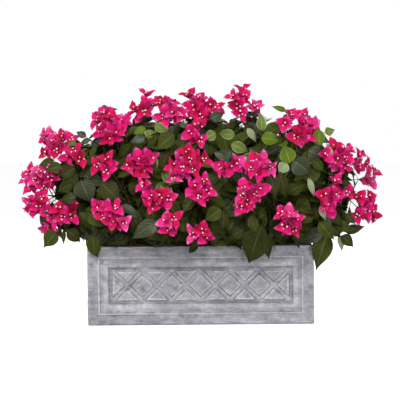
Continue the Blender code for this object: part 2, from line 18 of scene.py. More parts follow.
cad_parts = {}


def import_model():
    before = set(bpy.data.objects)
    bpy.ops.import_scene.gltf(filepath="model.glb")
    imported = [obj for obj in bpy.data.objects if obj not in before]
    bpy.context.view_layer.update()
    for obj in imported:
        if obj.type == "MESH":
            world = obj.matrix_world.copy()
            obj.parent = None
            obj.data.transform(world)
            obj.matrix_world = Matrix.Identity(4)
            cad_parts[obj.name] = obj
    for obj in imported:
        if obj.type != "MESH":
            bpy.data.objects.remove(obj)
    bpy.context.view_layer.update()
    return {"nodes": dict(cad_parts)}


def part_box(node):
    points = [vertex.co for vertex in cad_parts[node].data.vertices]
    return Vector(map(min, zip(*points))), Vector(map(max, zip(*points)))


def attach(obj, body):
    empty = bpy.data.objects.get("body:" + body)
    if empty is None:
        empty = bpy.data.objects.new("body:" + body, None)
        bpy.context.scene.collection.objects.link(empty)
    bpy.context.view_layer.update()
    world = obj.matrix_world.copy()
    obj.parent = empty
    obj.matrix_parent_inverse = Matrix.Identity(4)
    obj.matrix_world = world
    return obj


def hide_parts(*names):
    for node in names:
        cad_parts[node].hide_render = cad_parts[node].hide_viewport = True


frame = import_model()

FULL_TURN = 2 * math.pi

# Camera, fitted to the planter's corners in the photograph
CAMERA_PLACE = Vector((0, -3.2, 0.40))
CAMERA_AIM = Vector((0, 0, 0.2785))
CAMERA_ROLL = math.radians(-0.5)
PHOTO_SIZE = 400
FOCAL_PIXELS = 1383
SENSOR_WIDTH = 36

# Light: each softbox's name, place, side and watts
SOFTBOXES = (
    ("key", (-1.0, -2.6, 2.4), 1.4, 67), ("fill", (0.7, -3.4, 0.7), 1.6, 43),
    ("back", (0.5, 2.4, 2.2), 2.0, 72),
)
LIGHT_AIM = Vector((0, 0, 0.25))
WORLD_LIGHT = 0.26
FLOOR_GLOW = 0.84
FLOOR_GAP = 0.0005

# Planter, measured from its node
planter_low, planter_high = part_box("planter")
PLANTER_LENGTH = planter_high.x - planter_low.x
PLANTER_DEPTH = planter_high.y - planter_low.y
PLANTER_HEIGHT = planter_high.z
PLANTER_WALL = 0.014
PLANTER_DRAFT = 0.004
PLANTER_FLOOR = 0.015
CORNER_RADIUS = 0.003
CORNER_STEPS = (0.0008, 0.0017, 0.003)
STONE_SPACING = 0.0045
STONE_UNEVENNESS = 0.0007
UNEVENNESS_SCALE = 34
STONE_WOBBLE = 0.0012
WOBBLE_SCALE = 38
STONE_SHARP_ANGLE = math.radians(48)
MERGE_DISTANCE = 0.00005
SHORTEST_LINE = 0.001

# Relief of each side: distance inwards from the side's edge, and height of the surface there
BEAD_PROFILE = (
    (0.0232, 0.0), (0.0243, 0.0015), (0.0256, 0.0020), (0.0269, 0.0015), (0.0280, 0.0),
    (0.0470, -0.0010), (0.0484, -0.0034), (0.0560, -0.0040),
)
PANEL_INSET = 0.056
LATTICE_PITCH = 0.066
STRIP_RISE = 0.0014
STRIP_PROFILE = (
    # distance from a strip's middle line, and height above the panel's floor
    (0.0, STRIP_RISE), (0.0030, STRIP_RISE), (0.0042, 0.0005), (0.0052, 0.0005), (0.0062, 0.0030),
    (0.0076, 0.0036),
)
FRAME_LEDGE = ((0.0, 0.0), (0.0010, 0.0020), (0.0024, 0.0036))

# Weathering and painted light: how far and how high an edge has to stand out to turn pale, partly chalk and
# partly painted highlight, or sink to turn dark, partly dirt and partly painted shade; the chalk and painted
# highlight along each side's border; and the stone's tone by the distance inwards, with painted highlight
# and shade round bead and groove
WEATHER_LAYERS = ("chalk", "dirt", "tone", "stain_and_foot_shadow")
EDGE_SPAN = 0.0022
EDGE_HEIGHT = 0.0010
EDGE_BORDER = 0.003
BORDER_CHALK_AND_HIGHLIGHT = 0.6
# Tone by the distance inwards: the bead lighter, partly chalk and partly painted highlight; beside it and in
# the groove round the lattice darker, partly dirt and partly painted shade
ZONE_TONE_AND_SHADING = (
    (0.0, 0.30), (0.0230, 0.22), (0.0246, 0.85), (0.0272, 0.85), (0.0285, 0.22), (0.0345, 0.28),
    (0.0370, 0.66), (0.0460, 0.66), (0.0484, 0.10), (0.0560, 0.20), (0.0600, 0.42),
)
TOP_TONE = 0.55

# Brown stains on the front: across, up and radius, how brown they are out of the grooves, and the foot's
# level and the strength of the painted shadow along it
STAINS = (
    (-0.162, 0.084, 0.015), (-0.130, 0.082, 0.010), (-0.185, 0.100, 0.008), (-0.221, 0.143, 0.004),
    (0.131, 0.116, 0.004), (0.103, 0.062, 0.008), (-0.247, 0.138, 0.005), (-0.105, 0.052, 0.007),
)
OPEN_STAIN = 0.65
FOOT_LEVEL = 0.0022
FOOT_SHADOW = 0.7

# Filling, and the loose strands on it
MOSS_LEVEL = 0.180
MOSS_DIP = 0.012
MOSS_MOUND = 0.016
MOSS_MARGIN = 0.001
LUMP_HEIGHT = 0.004
LUMP_SCALE = 60
MOSS_STRANDS = 260
STRAND_START = (0.235, 0.068)
STRAND_LIMIT = (0.236, 0.070)
STRAND_STEP = 0.008
STRAND_RADII = [0.0005, 0.0008, 0.0008, 0.0007, 0.0003]
STRAND_LIFT = 0.0014
STRAND_LOOP = 0.004

# Stems and boughs, as in the solids
FILL_LEVEL = 0.166
STEM_COUNT = 5
STEM_PITCH = 0.078
STEM_FOOT_RADIUS = 0.0150
STEM_RADIUS = 0.0110
STEM_TOP = 0.206
STEM_SPREAD = 0.012
BOUGH_RADIUS = 0.0034
BOUGH_TIP_RADIUS = 0.0026
BOUGH_RING = 0.0068
BOUGH_RISE = 0.045
BOUGH_UPRIGHT = 0.006
BOUGH_SHARE = 0.50
BOUGH_POINTS = 12

# Crown: a rounded body measured from its middle at its widest level, and the leaves' body inside it
CROWN_LEVEL = 0.270
CROWN_POWER = 2.4
CROWN_ROUNDING = 1.0
CROWN_HALVES = {"length": 0.413, "depth": 0.235, "above": 0.275, "below": 0.200}
LEAF_HALVES = {"length": 0.358, "depth": 0.198, "above": 0.208, "below": 0.125}
LOWEST_LEAF = 0.179
LOWEST_SHOOT = 0.193

# Middles of the masses in the crown
ROW_COUNT = 5
ROW_PITCH = 0.148
ROW_SETBACK = 0.128
ROW_BOW = 0.05
ROW_LEVEL = 0.268
END_REACH = 0.340
END_LEVEL = 0.290
TOP_COUNT = 4
TOP_PITCH = 0.130
TOP_SETBACK = 0.040
TOP_LEVEL = 0.420

# Twigs
LEADER_RADIUS = 0.0026
LEADER_OVERRUN = 0.25
TWIG_RADIUS = 0.0014
SPRIG_RADIUS = 0.0009
STALK_RADIUS = 0.0006
TWIG_SLANT = 0.6
FIRST_TWIG = 0.12
LAST_TWIG = 0.94
TWIG_RISE = 0.05
TUBE_POINTS = 5
TUBE_SIDES = 5

# Leafy shoots: how many in each shell of the leaves' body, and how deep its tips lie under the surface
SHOOT_SHELLS = ((260, 0.014), (170, 0.048), (90, 0.095))
SHOOT_TO_HEAD = 0.020
LEAVES_ON_SHOOT = 5
LEAVES_ON_HEAD_TWIG = 4
HEAD_TWIG_ROOM = 1.10
LEAF_STEP = 0.013
LEAF_LENGTHS = (0.046, 0.076)
LEAF_WIDTH_SHARE = (0.56, 0.72)
LEAF_TURN = math.radians(137)
LEAF_OPENING = math.radians(66)
LEAF_DROOP = 0.55
LEAF_STALK = 0.012
LEAF_THICKNESS = 0.0006
LEAF_LIFT = 0.45
LEAF_DISORDER = 0.6
QUILTING = 0.0012
EDGE_WAVES = 1.7
TURN_TRIES = 6
SEED = 7
# Spans of a blade's arch, curl of the tip, fold, twist, and the phase and height of its wavy edge
LEAF_BENDS = ((0.1, 0.6), (0.0, 0.5), (0.08, 0.40), (-0.35, 0.35), (0, FULL_TURN), (0.04, 0.12))
BRACT_BENDS = ((-0.5, 0.4), (0.0, 0.9), (0.30, 0.72), (-0.4, 0.4), (0, FULL_TURN), (0.12, 0.30))

# Heads: florets of three bracts round cream flowers; those between a head's own lie set back, and a head
# on the back stands where the front hides it
BRACT_LENGTHS = (0.0235, 0.0300)
BRACT_OPENING = math.radians(52)
BRACT_WIDTH_SHARES = (0.62, 0.94)
BRACT_THICKNESS = 0.0004
BRACT_SPACING = 0.001
FLORET_SEAT = 0.008
HEAD_DOME = 0.012
DOME_REACH = 0.05
HEAD_DEPTH = 0.032
HEAD_OUTWARDS = 0.5
CLEAR_OF_HEAD = 0.022
TO_VIEWER = Vector((0, -1, 0.12))
FLORET_LEAN = math.radians(30)
LEAN_REACH = 0.03
FILLER_SINK = 0.015
INNER_SINK = 0.008
FILLER_SIZE = 0.9
FLOWERS_IN_FLORET = (1, 2, 3, 3)
FLOWER_LENGTH = 0.013
FLOWER_SPREAD = math.radians(24)
TO_BACK = Vector((1, -1, 1))
BACK_SHIFT = 0.005
BACK_FROM = 0.09
LOWEST_HEAD = 0.212

# Blades: half width as a share of the widest from root to tip, and the columns across
LEAF_OUTLINE = (0.08, 0.62, 0.91, 1.0, 0.96, 0.82, 0.61, 0.36, 0.14, 0.02)
LEAF_COLUMNS = (-1.0, -0.82, -0.42, -0.06, 0.06, 0.42, 0.82, 1.0)
LEAF_UNDER_COLUMNS = (-0.42, 0.0, 0.42)
INNER_OUTLINE = (0.10, 0.80, 1.0, 0.94, 0.62, 0.20, 0.02)
INNER_COLUMNS = (-1.0, -0.40, 0.40, 1.0)
INNER_UNDER_COLUMNS = (-0.40, 0.40)
FINE_ROWS = 22
FINE_COLUMNS = (-1.0, -0.86, -0.66, -0.46, -0.25, -0.05, 0.05, 0.25, 0.46, 0.66, 0.86, 1.0)
BRACT_OUTLINE = (0.15, 0.58, 0.88, 1.0, 0.98, 0.86, 0.64, 0.34, 0.03)
BRACT_COLUMNS = (-1.0, -0.5, 0.0, 0.5, 1.0)
BRACT_UNDER_COLUMNS = (-0.5, 0.0, 0.5)
SIDE_VEINS = 7
VEIN_SLANT = 0.30
LEAF_SLOTS = ("", "_underside", "_rib", "_margin")
RIB_HALF = 0.06
MARGIN_START = 0.85
BRACT_SLOTS = ("", "_back", "_throat_shade", "_tip_highlight")
# the throat's darker tint is painted shade, the tip's lighter tint a painted highlight
THROAT_END = 0.30
TIP_START = 0.72

# Tints of leaves: upper side, underside, rib and margin
DARK, MID, GREY, YOUNG, LIME, PALE, INNER_SHADED = "dark", "mid", "grey", "young", "lime", "pale", "inner"
LEAF_TINTS = {
    DARK: ((0.040, 0.046, 0.006), (0.070, 0.080, 0.024), (0.084, 0.094, 0.026), (0.034, 0.040, 0.005)),
    MID: ((0.054, 0.068, 0.009), (0.105, 0.125, 0.042), (0.115, 0.130, 0.036), (0.056, 0.072, 0.012)),
    GREY: ((0.042, 0.053, 0.020), (0.120, 0.140, 0.080), (0.105, 0.120, 0.062), (0.048, 0.058, 0.024)),
    YOUNG: ((0.150, 0.215, 0.042), (0.270, 0.340, 0.130), (0.280, 0.340, 0.110), (0.350, 0.415, 0.200)),
    LIME: ((0.110, 0.172, 0.012), (0.210, 0.290, 0.060), (0.200, 0.270, 0.050), (0.150, 0.225, 0.028)),
    PALE: ((0.320, 0.390, 0.200), (0.400, 0.460, 0.280), (0.440, 0.480, 0.310), (0.460, 0.500, 0.350)),
    # the inner shells' leaves: a darker copy of the dark tint, painted shade inside the crown
    INNER_SHADED: ((0.025, 0.029, 0.005), (0.044, 0.050, 0.016), (0.050, 0.056, 0.016), (0.026, 0.030, 0.005)),
}
LEAF_GLOSS = {GREY: (0.30, 0.40), DARK: (0.36, 0.14)}
PLAIN_GLOSS = (0.45, 0.10)
TINT_SHARES = ((GREY, 0.16), (MID, 0.26))
YOUNG_SHARE = 0.02
YOUNG_GAIN = 0.20
YOUNG_FROM = 0.32
YOUNG_RISE = 0.15

# Tints of bracts: inside, back, throat, darker as painted shade, and tip, lighter as painted highlight
BRACT_TINTS = {
    "magenta": ((0.770, 0.007, 0.185), (0.750, 0.045, 0.250), (0.540, 0.003, 0.060), (0.860, 0.060, 0.320)),
    "crimson": ((0.680, 0.004, 0.105), (0.670, 0.020, 0.180), (0.460, 0.002, 0.030), (0.780, 0.024, 0.190)),
    "pink": ((0.860, 0.050, 0.310), (0.840, 0.090, 0.360), (0.650, 0.008, 0.120), (0.940, 0.210, 0.500)),
}
BRACT_TINT_WEIGHTS = (6, 2, 2)

# Florets of each head on the front: across and down in the photograph's pixels, and for those that are
# turned away also the way they turn to in the picture and how far, in degrees
FRONT_HEADS = (
    ((45, 139), (54, 143, 60, 35), (46, 154, -100, 45), (71, 140, 30, 35), (50, 135, 100, 30),
     (57, 151), (63, 137, 60, 35)),
    ((69, 158), (75, 152), (81, 159)),
    ((25, 180, 180, 20), (31, 171, 105, 35), (41, 172, 80, 30), (51, 178), (45, 187),
     (37, 180), (30, 187, -140, 30), (55, 171, 20, 35)),
    ((37, 199), (33, 210), (41, 206), (31, 203, 180, 30), (43, 198)),
    ((60, 208), (56, 221), (69, 203), (72, 216), (64, 217), (49, 213, 180, 20), (48, 226, -120, 30)),
    ((108, 159), (107, 171, -90, 30), (98, 166)),
    ((97, 120, 170, 30), (104, 113, 120, 30), (112, 117), (122, 123, 0, 20), (101, 133), (108, 139),
     (117, 131, -20, 15)),
    ((116, 208), (107, 209), (104, 217), (112, 220), (124, 223), (97, 206, 140, 25)),
    ((129, 166), (139, 158), (151, 158), (142, 172)),
    ((147, 94, 80, 35), (148, 106, 100, 50), (144, 112), (134, 111, 180, 45)),
    ((163, 118), (171, 105), (174, 114), (180, 115, 0, 25), (160, 103, 150, 35)),
    ((189, 95, 110, 35), (194, 109), (199, 99, 90, 35), (211, 108), (201, 117, -90, 20), (217, 108, 10, 25)),
    ((196, 126), (191, 134), (200, 141)),
    ((190, 160), (173, 166, 180, 35), (187, 152, 90, 30), (203, 160, 10, 30), (183, 168),
     (174, 177, -100, 50), (193, 170, -60, 25)),
    ((143, 185), (151, 197), (160, 196), (152, 206), (168, 199, 0, 20)),
    ((204, 181), (194, 188), (199, 196), (208, 191, 0, 25)),
    ((174, 219), (169, 229), (166, 222)),
    ((203, 230), (193, 234, 180, 20), (206, 236)),
    ((244, 97), (243, 89, 90, 35), (238, 107), (232, 98, 170, 35), (241, 114, -90, 20)),
    ((255, 109),),
    ((255, 161), (263, 161), (251, 169), (259, 174), (270, 168, 0, 35)),
    ((237, 162), (231, 168), (221, 168, 180, 50)),
    ((242, 196), (255, 194), (248, 202), (241, 207), (261, 189, 20, 25), (243, 188, 90, 25)),
    ((281, 214), (288, 214), (296, 218), (284, 226), (293, 229)),
    ((284, 125), (291, 116, 70, 30)),
    ((305, 123), (296, 137), (308, 137), (311, 125, 10, 25), (302, 115, 90, 35)),
    ((334, 146, 130, 30), (344, 159), (347, 150), (336, 161, -140, 50), (344, 167, -90, 50)),
    ((358, 156, 40, 30), (357, 166, -20, 35), (365, 165, 0, 35)),
    ((366, 176, 20, 50), (369, 182, -30, 45), (374, 173, 40, 45)),
    ((335, 181), (336, 195), (346, 193, 0, 20), (326, 205), (329, 209, -90, 20), (323, 195, 180, 25)),
    ((358, 197, 120, 30), (369, 196, 80, 35), (371, 210), (357, 215), (364, 211), (374, 215, -10, 20)),
    ((324, 156),),
)

# Heads on the ridge, hidden from the front: across, behind the middle, and up
HIDDEN_HEADS = (
    (-0.18, 0.05, 0.430), (-0.06, 0.07, 0.438), (0.05, 0.04, 0.440), (0.17, 0.07, 0.428),
)
HIDDEN_FLORETS = 4
HIDDEN_SPREAD = 0.020

# Leaves that the photograph shows on the front: root and tip, across and down in its pixels, and width
FRONT_LEAVES = (
    (57, 232, 43, 247, 17, MID), (64, 230, 63, 245, 5, MID), (67, 230, 82, 242, 13, DARK),
    (92, 236, 96, 261, 14, MID), (50, 208, 42, 224, 12, DARK), (54, 160, 37, 166, 8, MID),
    (81, 180, 90, 205, 22, GREY), (74, 171, 65, 195, 16, DARK), (101, 183, 121, 202, 20, DARK),
    (121, 205, 141, 216, 8, GREY), (79, 212, 95, 231, 12, DARK), (86, 137, 76, 131, 7, GREY),
    (90, 140, 79, 143, 6, GREY), (77, 144, 65, 143, 6, LIME), (90, 156, 97, 145, 6, MID),
    (146, 128, 131, 134, 8, LIME), (146, 137, 129, 142, 9, GREY), (154, 126, 169, 130, 10, YOUNG),
    (174, 134, 155, 150, 16, MID), (216, 133, 203, 139, 10, YOUNG), (235, 135, 217, 133, 10, YOUNG),
    (231, 144, 250, 152, 11, YOUNG), (247, 128, 257, 142, 7, PALE), (262, 131, 261, 113, 10, YOUNG),
    (261, 138, 280, 140, 14, LIME), (290, 163, 284, 144, 16, LIME), (287, 163, 279, 174, 12, PALE),
    (208, 194, 223, 199, 11, MID), (221, 209, 204, 221, 15, MID), (251, 215, 257, 235, 11, MID),
    (262, 225, 246, 269, 27, DARK), (264, 232, 270, 261, 13, DARK), (213, 234, 219, 248, 9, DARK),
    (224, 212, 223, 232, 10, DARK), (178, 224, 190, 232, 9, MID), (158, 221, 130, 239, 16, GREY),
    (160, 238, 167, 250, 7, DARK), (200, 243, 184, 253, 10, DARK), (327, 233, 316, 270, 21, MID),
    (339, 235, 344, 252, 7, PALE), (341, 236, 355, 246, 12, DARK), (345, 232, 365, 225, 10, DARK),
    (342, 180, 357, 191, 6, DARK), (325, 133, 335, 129, 9, YOUNG), (320, 146, 317, 126, 12, LIME),
    (286, 111, 272, 106, 6, LIME), (331, 158, 327, 143, 7, PALE), (308, 150, 324, 158, 15, GREY),
    (313, 160, 325, 172, 10, MID), (308, 178, 316, 198, 6, PALE), (320, 206, 326, 222, 6, PALE),
    (293, 160, 312, 175, 20, GREY), (319, 222, 335, 240, 14, MID), (324, 231, 296, 243, 14, GREY),
    (294, 238, 301, 250, 4, DARK), (210, 119, 225, 113, 10, GREY), (270, 172, 276, 200, 14, DARK),
    (280, 172, 286, 200, 13, DARK), (101, 240, 104, 248, 6, DARK), (116, 240, 120, 249, 7, DARK),
    (104, 110, 118, 109, 5, MID), (170, 101, 160, 99, 4, MID), (62, 166, 44, 170, 11, MID),
    (75, 168, 58, 176, 14, DARK), (72, 183, 57, 192, 12, DARK), (76, 197, 58, 200, 12, DARK),
    (330, 214, 345, 226, 10, DARK), (335, 222, 352, 232, 11, MID), (332, 226, 340, 238, 12, DARK),
    (345, 214, 356, 224, 8, DARK), (325, 212, 333, 227, 10, GREY),
)

# Twigs that the photograph shows on the front: start and end, across and down in its pixels
FRONT_TWIGS = (
    (122, 158, 112, 130), (124, 158, 115, 128), (126, 158, 118, 130), (128, 158, 121, 131),
    (130, 158, 125, 130), (127, 158, 119, 127), (338, 181, 359, 179), (339, 183, 353, 191),
    (337, 179, 350, 167), (97, 156, 92, 141), (252, 120, 258, 104), (276, 210, 272, 192),
    (178, 222, 184, 206),
)

# How far the front's leaves and twigs lie under the surface, and how leaves hang over the rim
LEAF_SET_BACK = 0.004
TWIG_SET_BACK = 0.015
RIM_SET_BACK = 0.028
RIM_CLEARANCE = 0.012
RIM_HANG = 0.45
LEAF_SLACK = 1.04
FRONT_WIDENING = 1.08
CLEAR_OF_LEAF = 0.020
LEAF_SHARE_CLEAR = 0.16


def srgb(r, g, b):
    """Linear colour of an 8-bit screen colour."""
    shares = (r / 255, g / 255, b / 255)
    return tuple(c / 12.92 if c <= 0.04045 else ((c + 0.055) / 1.055) ** 2.4 for c in shares)


def on_profile(profile, distance):
    """Height of a profile of straight stretches at a distance, level beyond its ends."""
    if distance <= profile[0][0]:
        return profile[0][1]
    for (start, low), (end, high) in zip(profile, profile[1:]):
        if distance <= end:
            return low + (high - low) * (distance - start) / (end - start)
    return profile[-1][1]


def linked_object(name, mesh, *materials):
    for material in materials:
        mesh.materials.append(material)
    thing = bpy.data.objects.new(name, mesh)
    bpy.context.scene.collection.objects.link(thing)
    return thing


# Materials

class Nodes:
    """A material's node tree, with short ways to add and join nodes."""

    def __init__(self, name, roughness, specular=0.5):
        self.material = bpy.data.materials.new(name)
        self.material.use_nodes = True
        self.tree = self.material.node_tree
        self.shader = self.tree.nodes["Principled BSDF"]
        self.shader.inputs["Roughness"].default_value = roughness
        self.shader.inputs["Specular IOR Level"].default_value = specular

    def add(self, kind, **settings):
        node = self.tree.nodes.new(kind)
        for key, value in settings.items():
            setattr(node, key, value)
        return node

    def feed(self, socket, value):
        """Sets a socket to a number or a colour, or joins it to another node's output."""
        if isinstance(value, bpy.types.NodeSocket):
            self.tree.links.new(value, socket)
        elif isinstance(value, tuple) and len(socket.default_value) == 4:
            socket.default_value = (*value, 1)
        else:
            socket.default_value = value

    def coordinates(self, output, scale=(1, 1, 1)):
        """Object or UV coordinates, stretched by a scale."""
        source = self.add("ShaderNodeTexCoord")
        mapping = self.add("ShaderNodeMapping")
        self.feed(mapping.inputs["Scale"], scale)
        self.feed(mapping.inputs["Vector"], source.outputs[output])
        return mapping.outputs["Vector"]

    def noise(self, scale, detail=4, stretch=(1, 1, 1), rough=0.55):
        texture = self.add("ShaderNodeTexNoise")
        self.feed(texture.inputs["Scale"], scale)
        self.feed(texture.inputs["Detail"], detail)
        self.feed(texture.inputs["Roughness"], rough)
        self.feed(texture.inputs["Vector"], self.coordinates("Object", stretch))
        return texture.outputs["Fac"]

    def ramp(self, value, *stops):
        """A colour ramp: each stop is a place and a colour or a grey."""
        ramp = self.add("ShaderNodeValToRGB")
        elements = ramp.color_ramp.elements
        while len(elements) < len(stops):
            elements.new(0.5)
        for element, (place, colour) in zip(elements, stops):
            element.position = place
            element.color = (*colour, 1) if isinstance(colour, tuple) else (colour, colour, colour, 1)
        self.feed(ramp.inputs["Fac"], value)
        return ramp.outputs["Color"]

    def mix(self, kind, share, first, second):
        """Two colours mixed; each input is a constant or another node's output."""
        node = self.add("ShaderNodeMix", data_type="RGBA", blend_type=kind)
        colours = [socket for socket in node.inputs if socket.type == "RGBA"]
        self.feed(node.inputs[0], share)
        self.feed(colours[0], first)
        self.feed(colours[1], second)
        return [socket for socket in node.outputs if socket.type == "RGBA"][0]

    def math(self, kind, first, second=0.0):
        node = self.add("ShaderNodeMath", operation=kind)
        self.feed(node.inputs[0], first)
        self.feed(node.inputs[1], second)
        return node.outputs[0]

    def total(self, *weighted):
        """Sum of values, each given with its weight."""
        amount = 0.0
        for value, weight in weighted:
            amount = self.math("ADD", self.math("MULTIPLY", value, weight), amount)
        return amount

    def attribute(self, name):
        return self.add("ShaderNodeAttribute", attribute_name=name).outputs["Fac"]

    def colour(self, value):
        self.feed(self.shader.inputs["Base Color"], value)

    def bump(self, height, distance, strength=1.0):
        bump = self.add("ShaderNodeBump")
        self.feed(bump.inputs["Distance"], distance)
        self.feed(bump.inputs["Strength"], strength)
        self.feed(bump.inputs["Height"], height)
        self.feed(self.shader.inputs["Normal"], bump.outputs["Normal"])


def stone_material():
    """Grey cast stone: mottled and smeared with chalk, pale on its edges with chalk and painted highlight,
    dark in its grooves with dirt and painted shade, and brown with stains and a painted shadow along its
    foot.
    """
    nodes = Nodes("cast_stone", 0.9, 0.25)
    clouds = nodes.noise(34, 8, rough=0.72)
    smears = nodes.noise(20, 8, stretch=(0.6, 0.6, 1.7), rough=0.72)
    scratches = nodes.noise(90, 6, stretch=(0.5, 0.5, 1.6), rough=0.65)
    # the tone by zone carries a painted highlight on the bead and painted shade beside it and in the groove
    level = nodes.total((clouds, 0.95), (smears, 0.75), (scratches, 0.40), (nodes.attribute("tone"), 0.36))
    colour = nodes.ramp(
        nodes.math("SUBTRACT", level, 0.71),
        (0.26, srgb(136, 138, 149)), (0.43, srgb(170, 170, 177)), (0.57, srgb(192, 192, 198)),
        (0.76, srgb(228, 228, 233)),
    )
    patches = nodes.noise(17, 2)
    dark_strokes = nodes.noise(34, 8, stretch=(0.5, 0.5, 2.4), rough=0.74)
    strokes = nodes.noise(27, 8, stretch=(0.4, 0.4, 2.8), rough=0.74)
    for texture, start, end, tint in (
        (patches, (0.56, 0.0), (0.66, 0.5), srgb(148, 150, 166)),
        (dark_strokes, (0.55, 0.0), (0.64, 0.6), srgb(134, 136, 150)),
        (strokes, (0.56, 0.0), (0.63, 0.7), srgb(216, 216, 222)),
    ):
        colour = nodes.mix("MIX", nodes.ramp(texture, start, end), colour, tint)
    grain = nodes.ramp(nodes.noise(420, 3), (0.30, 0.86), (0.70, 1.10))
    colour = nodes.mix("MULTIPLY", 1.0, colour, grain)
    for layer, texture, start, end, tint in (
        # pale on raised edges and along the borders: partly chalk, partly painted highlight
        ("chalk", nodes.noise(75, 6, rough=0.65), (0.40, 0.1), (0.56, 0.95), srgb(226, 226, 230)),
        # dark in grooves and corners: partly dirt, partly painted shade
        ("dirt", nodes.noise(44, 6, rough=0.65), (0.40, 0.10), (0.58, 0.9), srgb(124, 117, 108)),
        ("stain_and_foot_shadow", nodes.noise(70, 4), (0.38, 0.3), (0.56, 1.0), srgb(92, 77, 60)),
    ):
        share = nodes.math("MULTIPLY", nodes.attribute(layer), nodes.ramp(texture, start, end))
        colour = nodes.mix("MIX", share, colour, tint)
    nodes.colour(colour)
    nodes.bump(nodes.total((nodes.noise(110, 7, rough=0.72), 1.0), (smears, 1.4)), 0.0022, 0.7)
    return nodes.material


def moss_material(name, light, dark):
    """Dry brown moss and fibre."""
    nodes = Nodes(name, 1.0, 0.1)
    nodes.colour(nodes.ramp(nodes.noise(120, 5, rough=0.7), (0.35, dark), (0.65, light)))
    nodes.bump(nodes.noise(240, 4), 0.003)
    return nodes.material


def bark_material(name, light, dark, scale):
    """Brown-green wrapped stems, streaked along their length."""
    nodes = Nodes(name, 0.75, 0.3)
    nodes.colour(nodes.ramp(nodes.noise(scale, 5, stretch=(1, 1, 0.35)), (0.36, dark), (0.64, light)))
    nodes.bump(nodes.noise(scale * 2, 4, stretch=(1, 1, 0.35)), 0.0008)
    return nodes.material


def vein_pattern(nodes, count, slant):
    """Thin lines that leave the middle of a blade at a slant, from its UV map: 1 on a vein."""
    split = nodes.add("ShaderNodeSeparateXYZ")
    nodes.feed(split.inputs[0], nodes.coordinates("UV"))
    off_middle = nodes.math("ABSOLUTE", nodes.math("SUBTRACT", split.outputs[1], 0.5))
    along = nodes.math("SUBTRACT", split.outputs[0], nodes.math("MULTIPLY", off_middle, slant * 2))
    wave = nodes.math("PINGPONG", nodes.math("MULTIPLY", along, count), 0.5)
    return nodes.ramp(wave, (0.0, 1.0), (0.13, 0.0))


def leaf_material(name, colour, roughness, specular):
    """Printed cloth leaf: its tint with a slight mottling, paler veins and a fine weave."""
    nodes = Nodes(name, roughness, specular)
    mottle = nodes.ramp(nodes.noise(34, 3), (0.30, 0.78), (0.70, 1.24))
    tinted = nodes.mix("MULTIPLY", 1.0, colour, mottle)
    veins = vein_pattern(nodes, SIDE_VEINS, VEIN_SLANT)
    pale = tuple(min(part * 1.45 + 0.012, 1) for part in colour)
    nodes.colour(nodes.mix("MIX", nodes.math("MULTIPLY", veins, 0.5), tinted, pale))
    weave = nodes.noise(700, 2)
    nodes.bump(nodes.math("SUBTRACT", weave, nodes.math("MULTIPLY", veins, 1.6)), 0.0006, 0.6)
    return nodes.material


def bract_material(name, colour):
    """Papery cloth bract: its tint with a slight mottling and faint veins."""
    nodes = Nodes(name, 0.66, 0.16)
    mottle = nodes.ramp(nodes.noise(70, 3), (0.28, 0.80), (0.72, 1.18))
    tinted = nodes.mix("MULTIPLY", 1.0, colour, mottle)
    veins = vein_pattern(nodes, SIDE_VEINS, 0.5)
    deep = tuple(part * 0.72 for part in colour)
    nodes.colour(nodes.mix("MIX", nodes.math("MULTIPLY", veins, 0.45), tinted, deep))
    nodes.shader.inputs["Sheen Weight"].default_value = 0.05
    nodes.bump(nodes.math("SUBTRACT", nodes.noise(420, 3), veins), 0.0006, 0.6)
    return nodes.material


def plain_material(name, colour, roughness):
    """A small part's tint with a slight mottling."""
    nodes = Nodes(name, roughness, 0.3)
    mottle = nodes.ramp(nodes.noise(300, 2), (0.30, 0.86), (0.70, 1.10))
    nodes.colour(nodes.mix("MULTIPLY", 1.0, colour, mottle))
    return nodes.material


# Meshes from arrays

class Faces:
    """Faces of one small closed shape: its corners one after another, each face's size and slot."""

    def __init__(self, faces, slots=None):
        self.corners = np.array([corner for face in faces for corner in face])
        self.sizes = np.array([len(face) for face in faces])
        self.slots = np.array(slots if slots else [0] * len(faces))

    def repeated(self, copies, corners_each):
        """The same faces for a number of copies of the shape."""
        shifts = np.arange(copies)[:, None] * corners_each
        return (self.corners + shifts).ravel(), np.tile(self.sizes, copies), np.tile(self.slots, copies)


def mesh_from_arrays(name, places, faces, materials, sharp_angle, uvs=None):
    """One smooth mesh object from corner places and the faces' corners, sizes and slots."""
    corners, sizes, slots = faces
    mesh = bpy.data.meshes.new(name)
    mesh.vertices.add(len(places))
    mesh.vertices.foreach_set("co", np.asarray(places, dtype=np.float32).ravel())
    mesh.loops.add(len(corners))
    mesh.loops.foreach_set("vertex_index", corners.astype(np.int32))
    mesh.polygons.add(len(sizes))
    mesh.polygons.foreach_set("loop_start", np.concatenate(([0], np.cumsum(sizes)[:-1])).astype(np.int32))
    mesh.polygons.foreach_set("loop_total", sizes.astype(np.int32))
    mesh.polygons.foreach_set("material_index", slots.astype(np.int32))
    mesh.polygons.foreach_set("use_smooth", np.ones(len(sizes), dtype=bool))
    if uvs is not None:
        layer = mesh.uv_layers.new(name="UVMap")
        layer.data.foreach_set("uv", np.asarray(uvs, dtype=np.float32)[corners].ravel())
    mesh.update(calc_edges=True)
    mesh.validate()
    mesh.set_sharp_from_angle(angle=sharp_angle)
    return linked_object(name, mesh, *materials)


def unit(rows):
    return rows / np.linalg.norm(rows, axis=-1, keepdims=True)


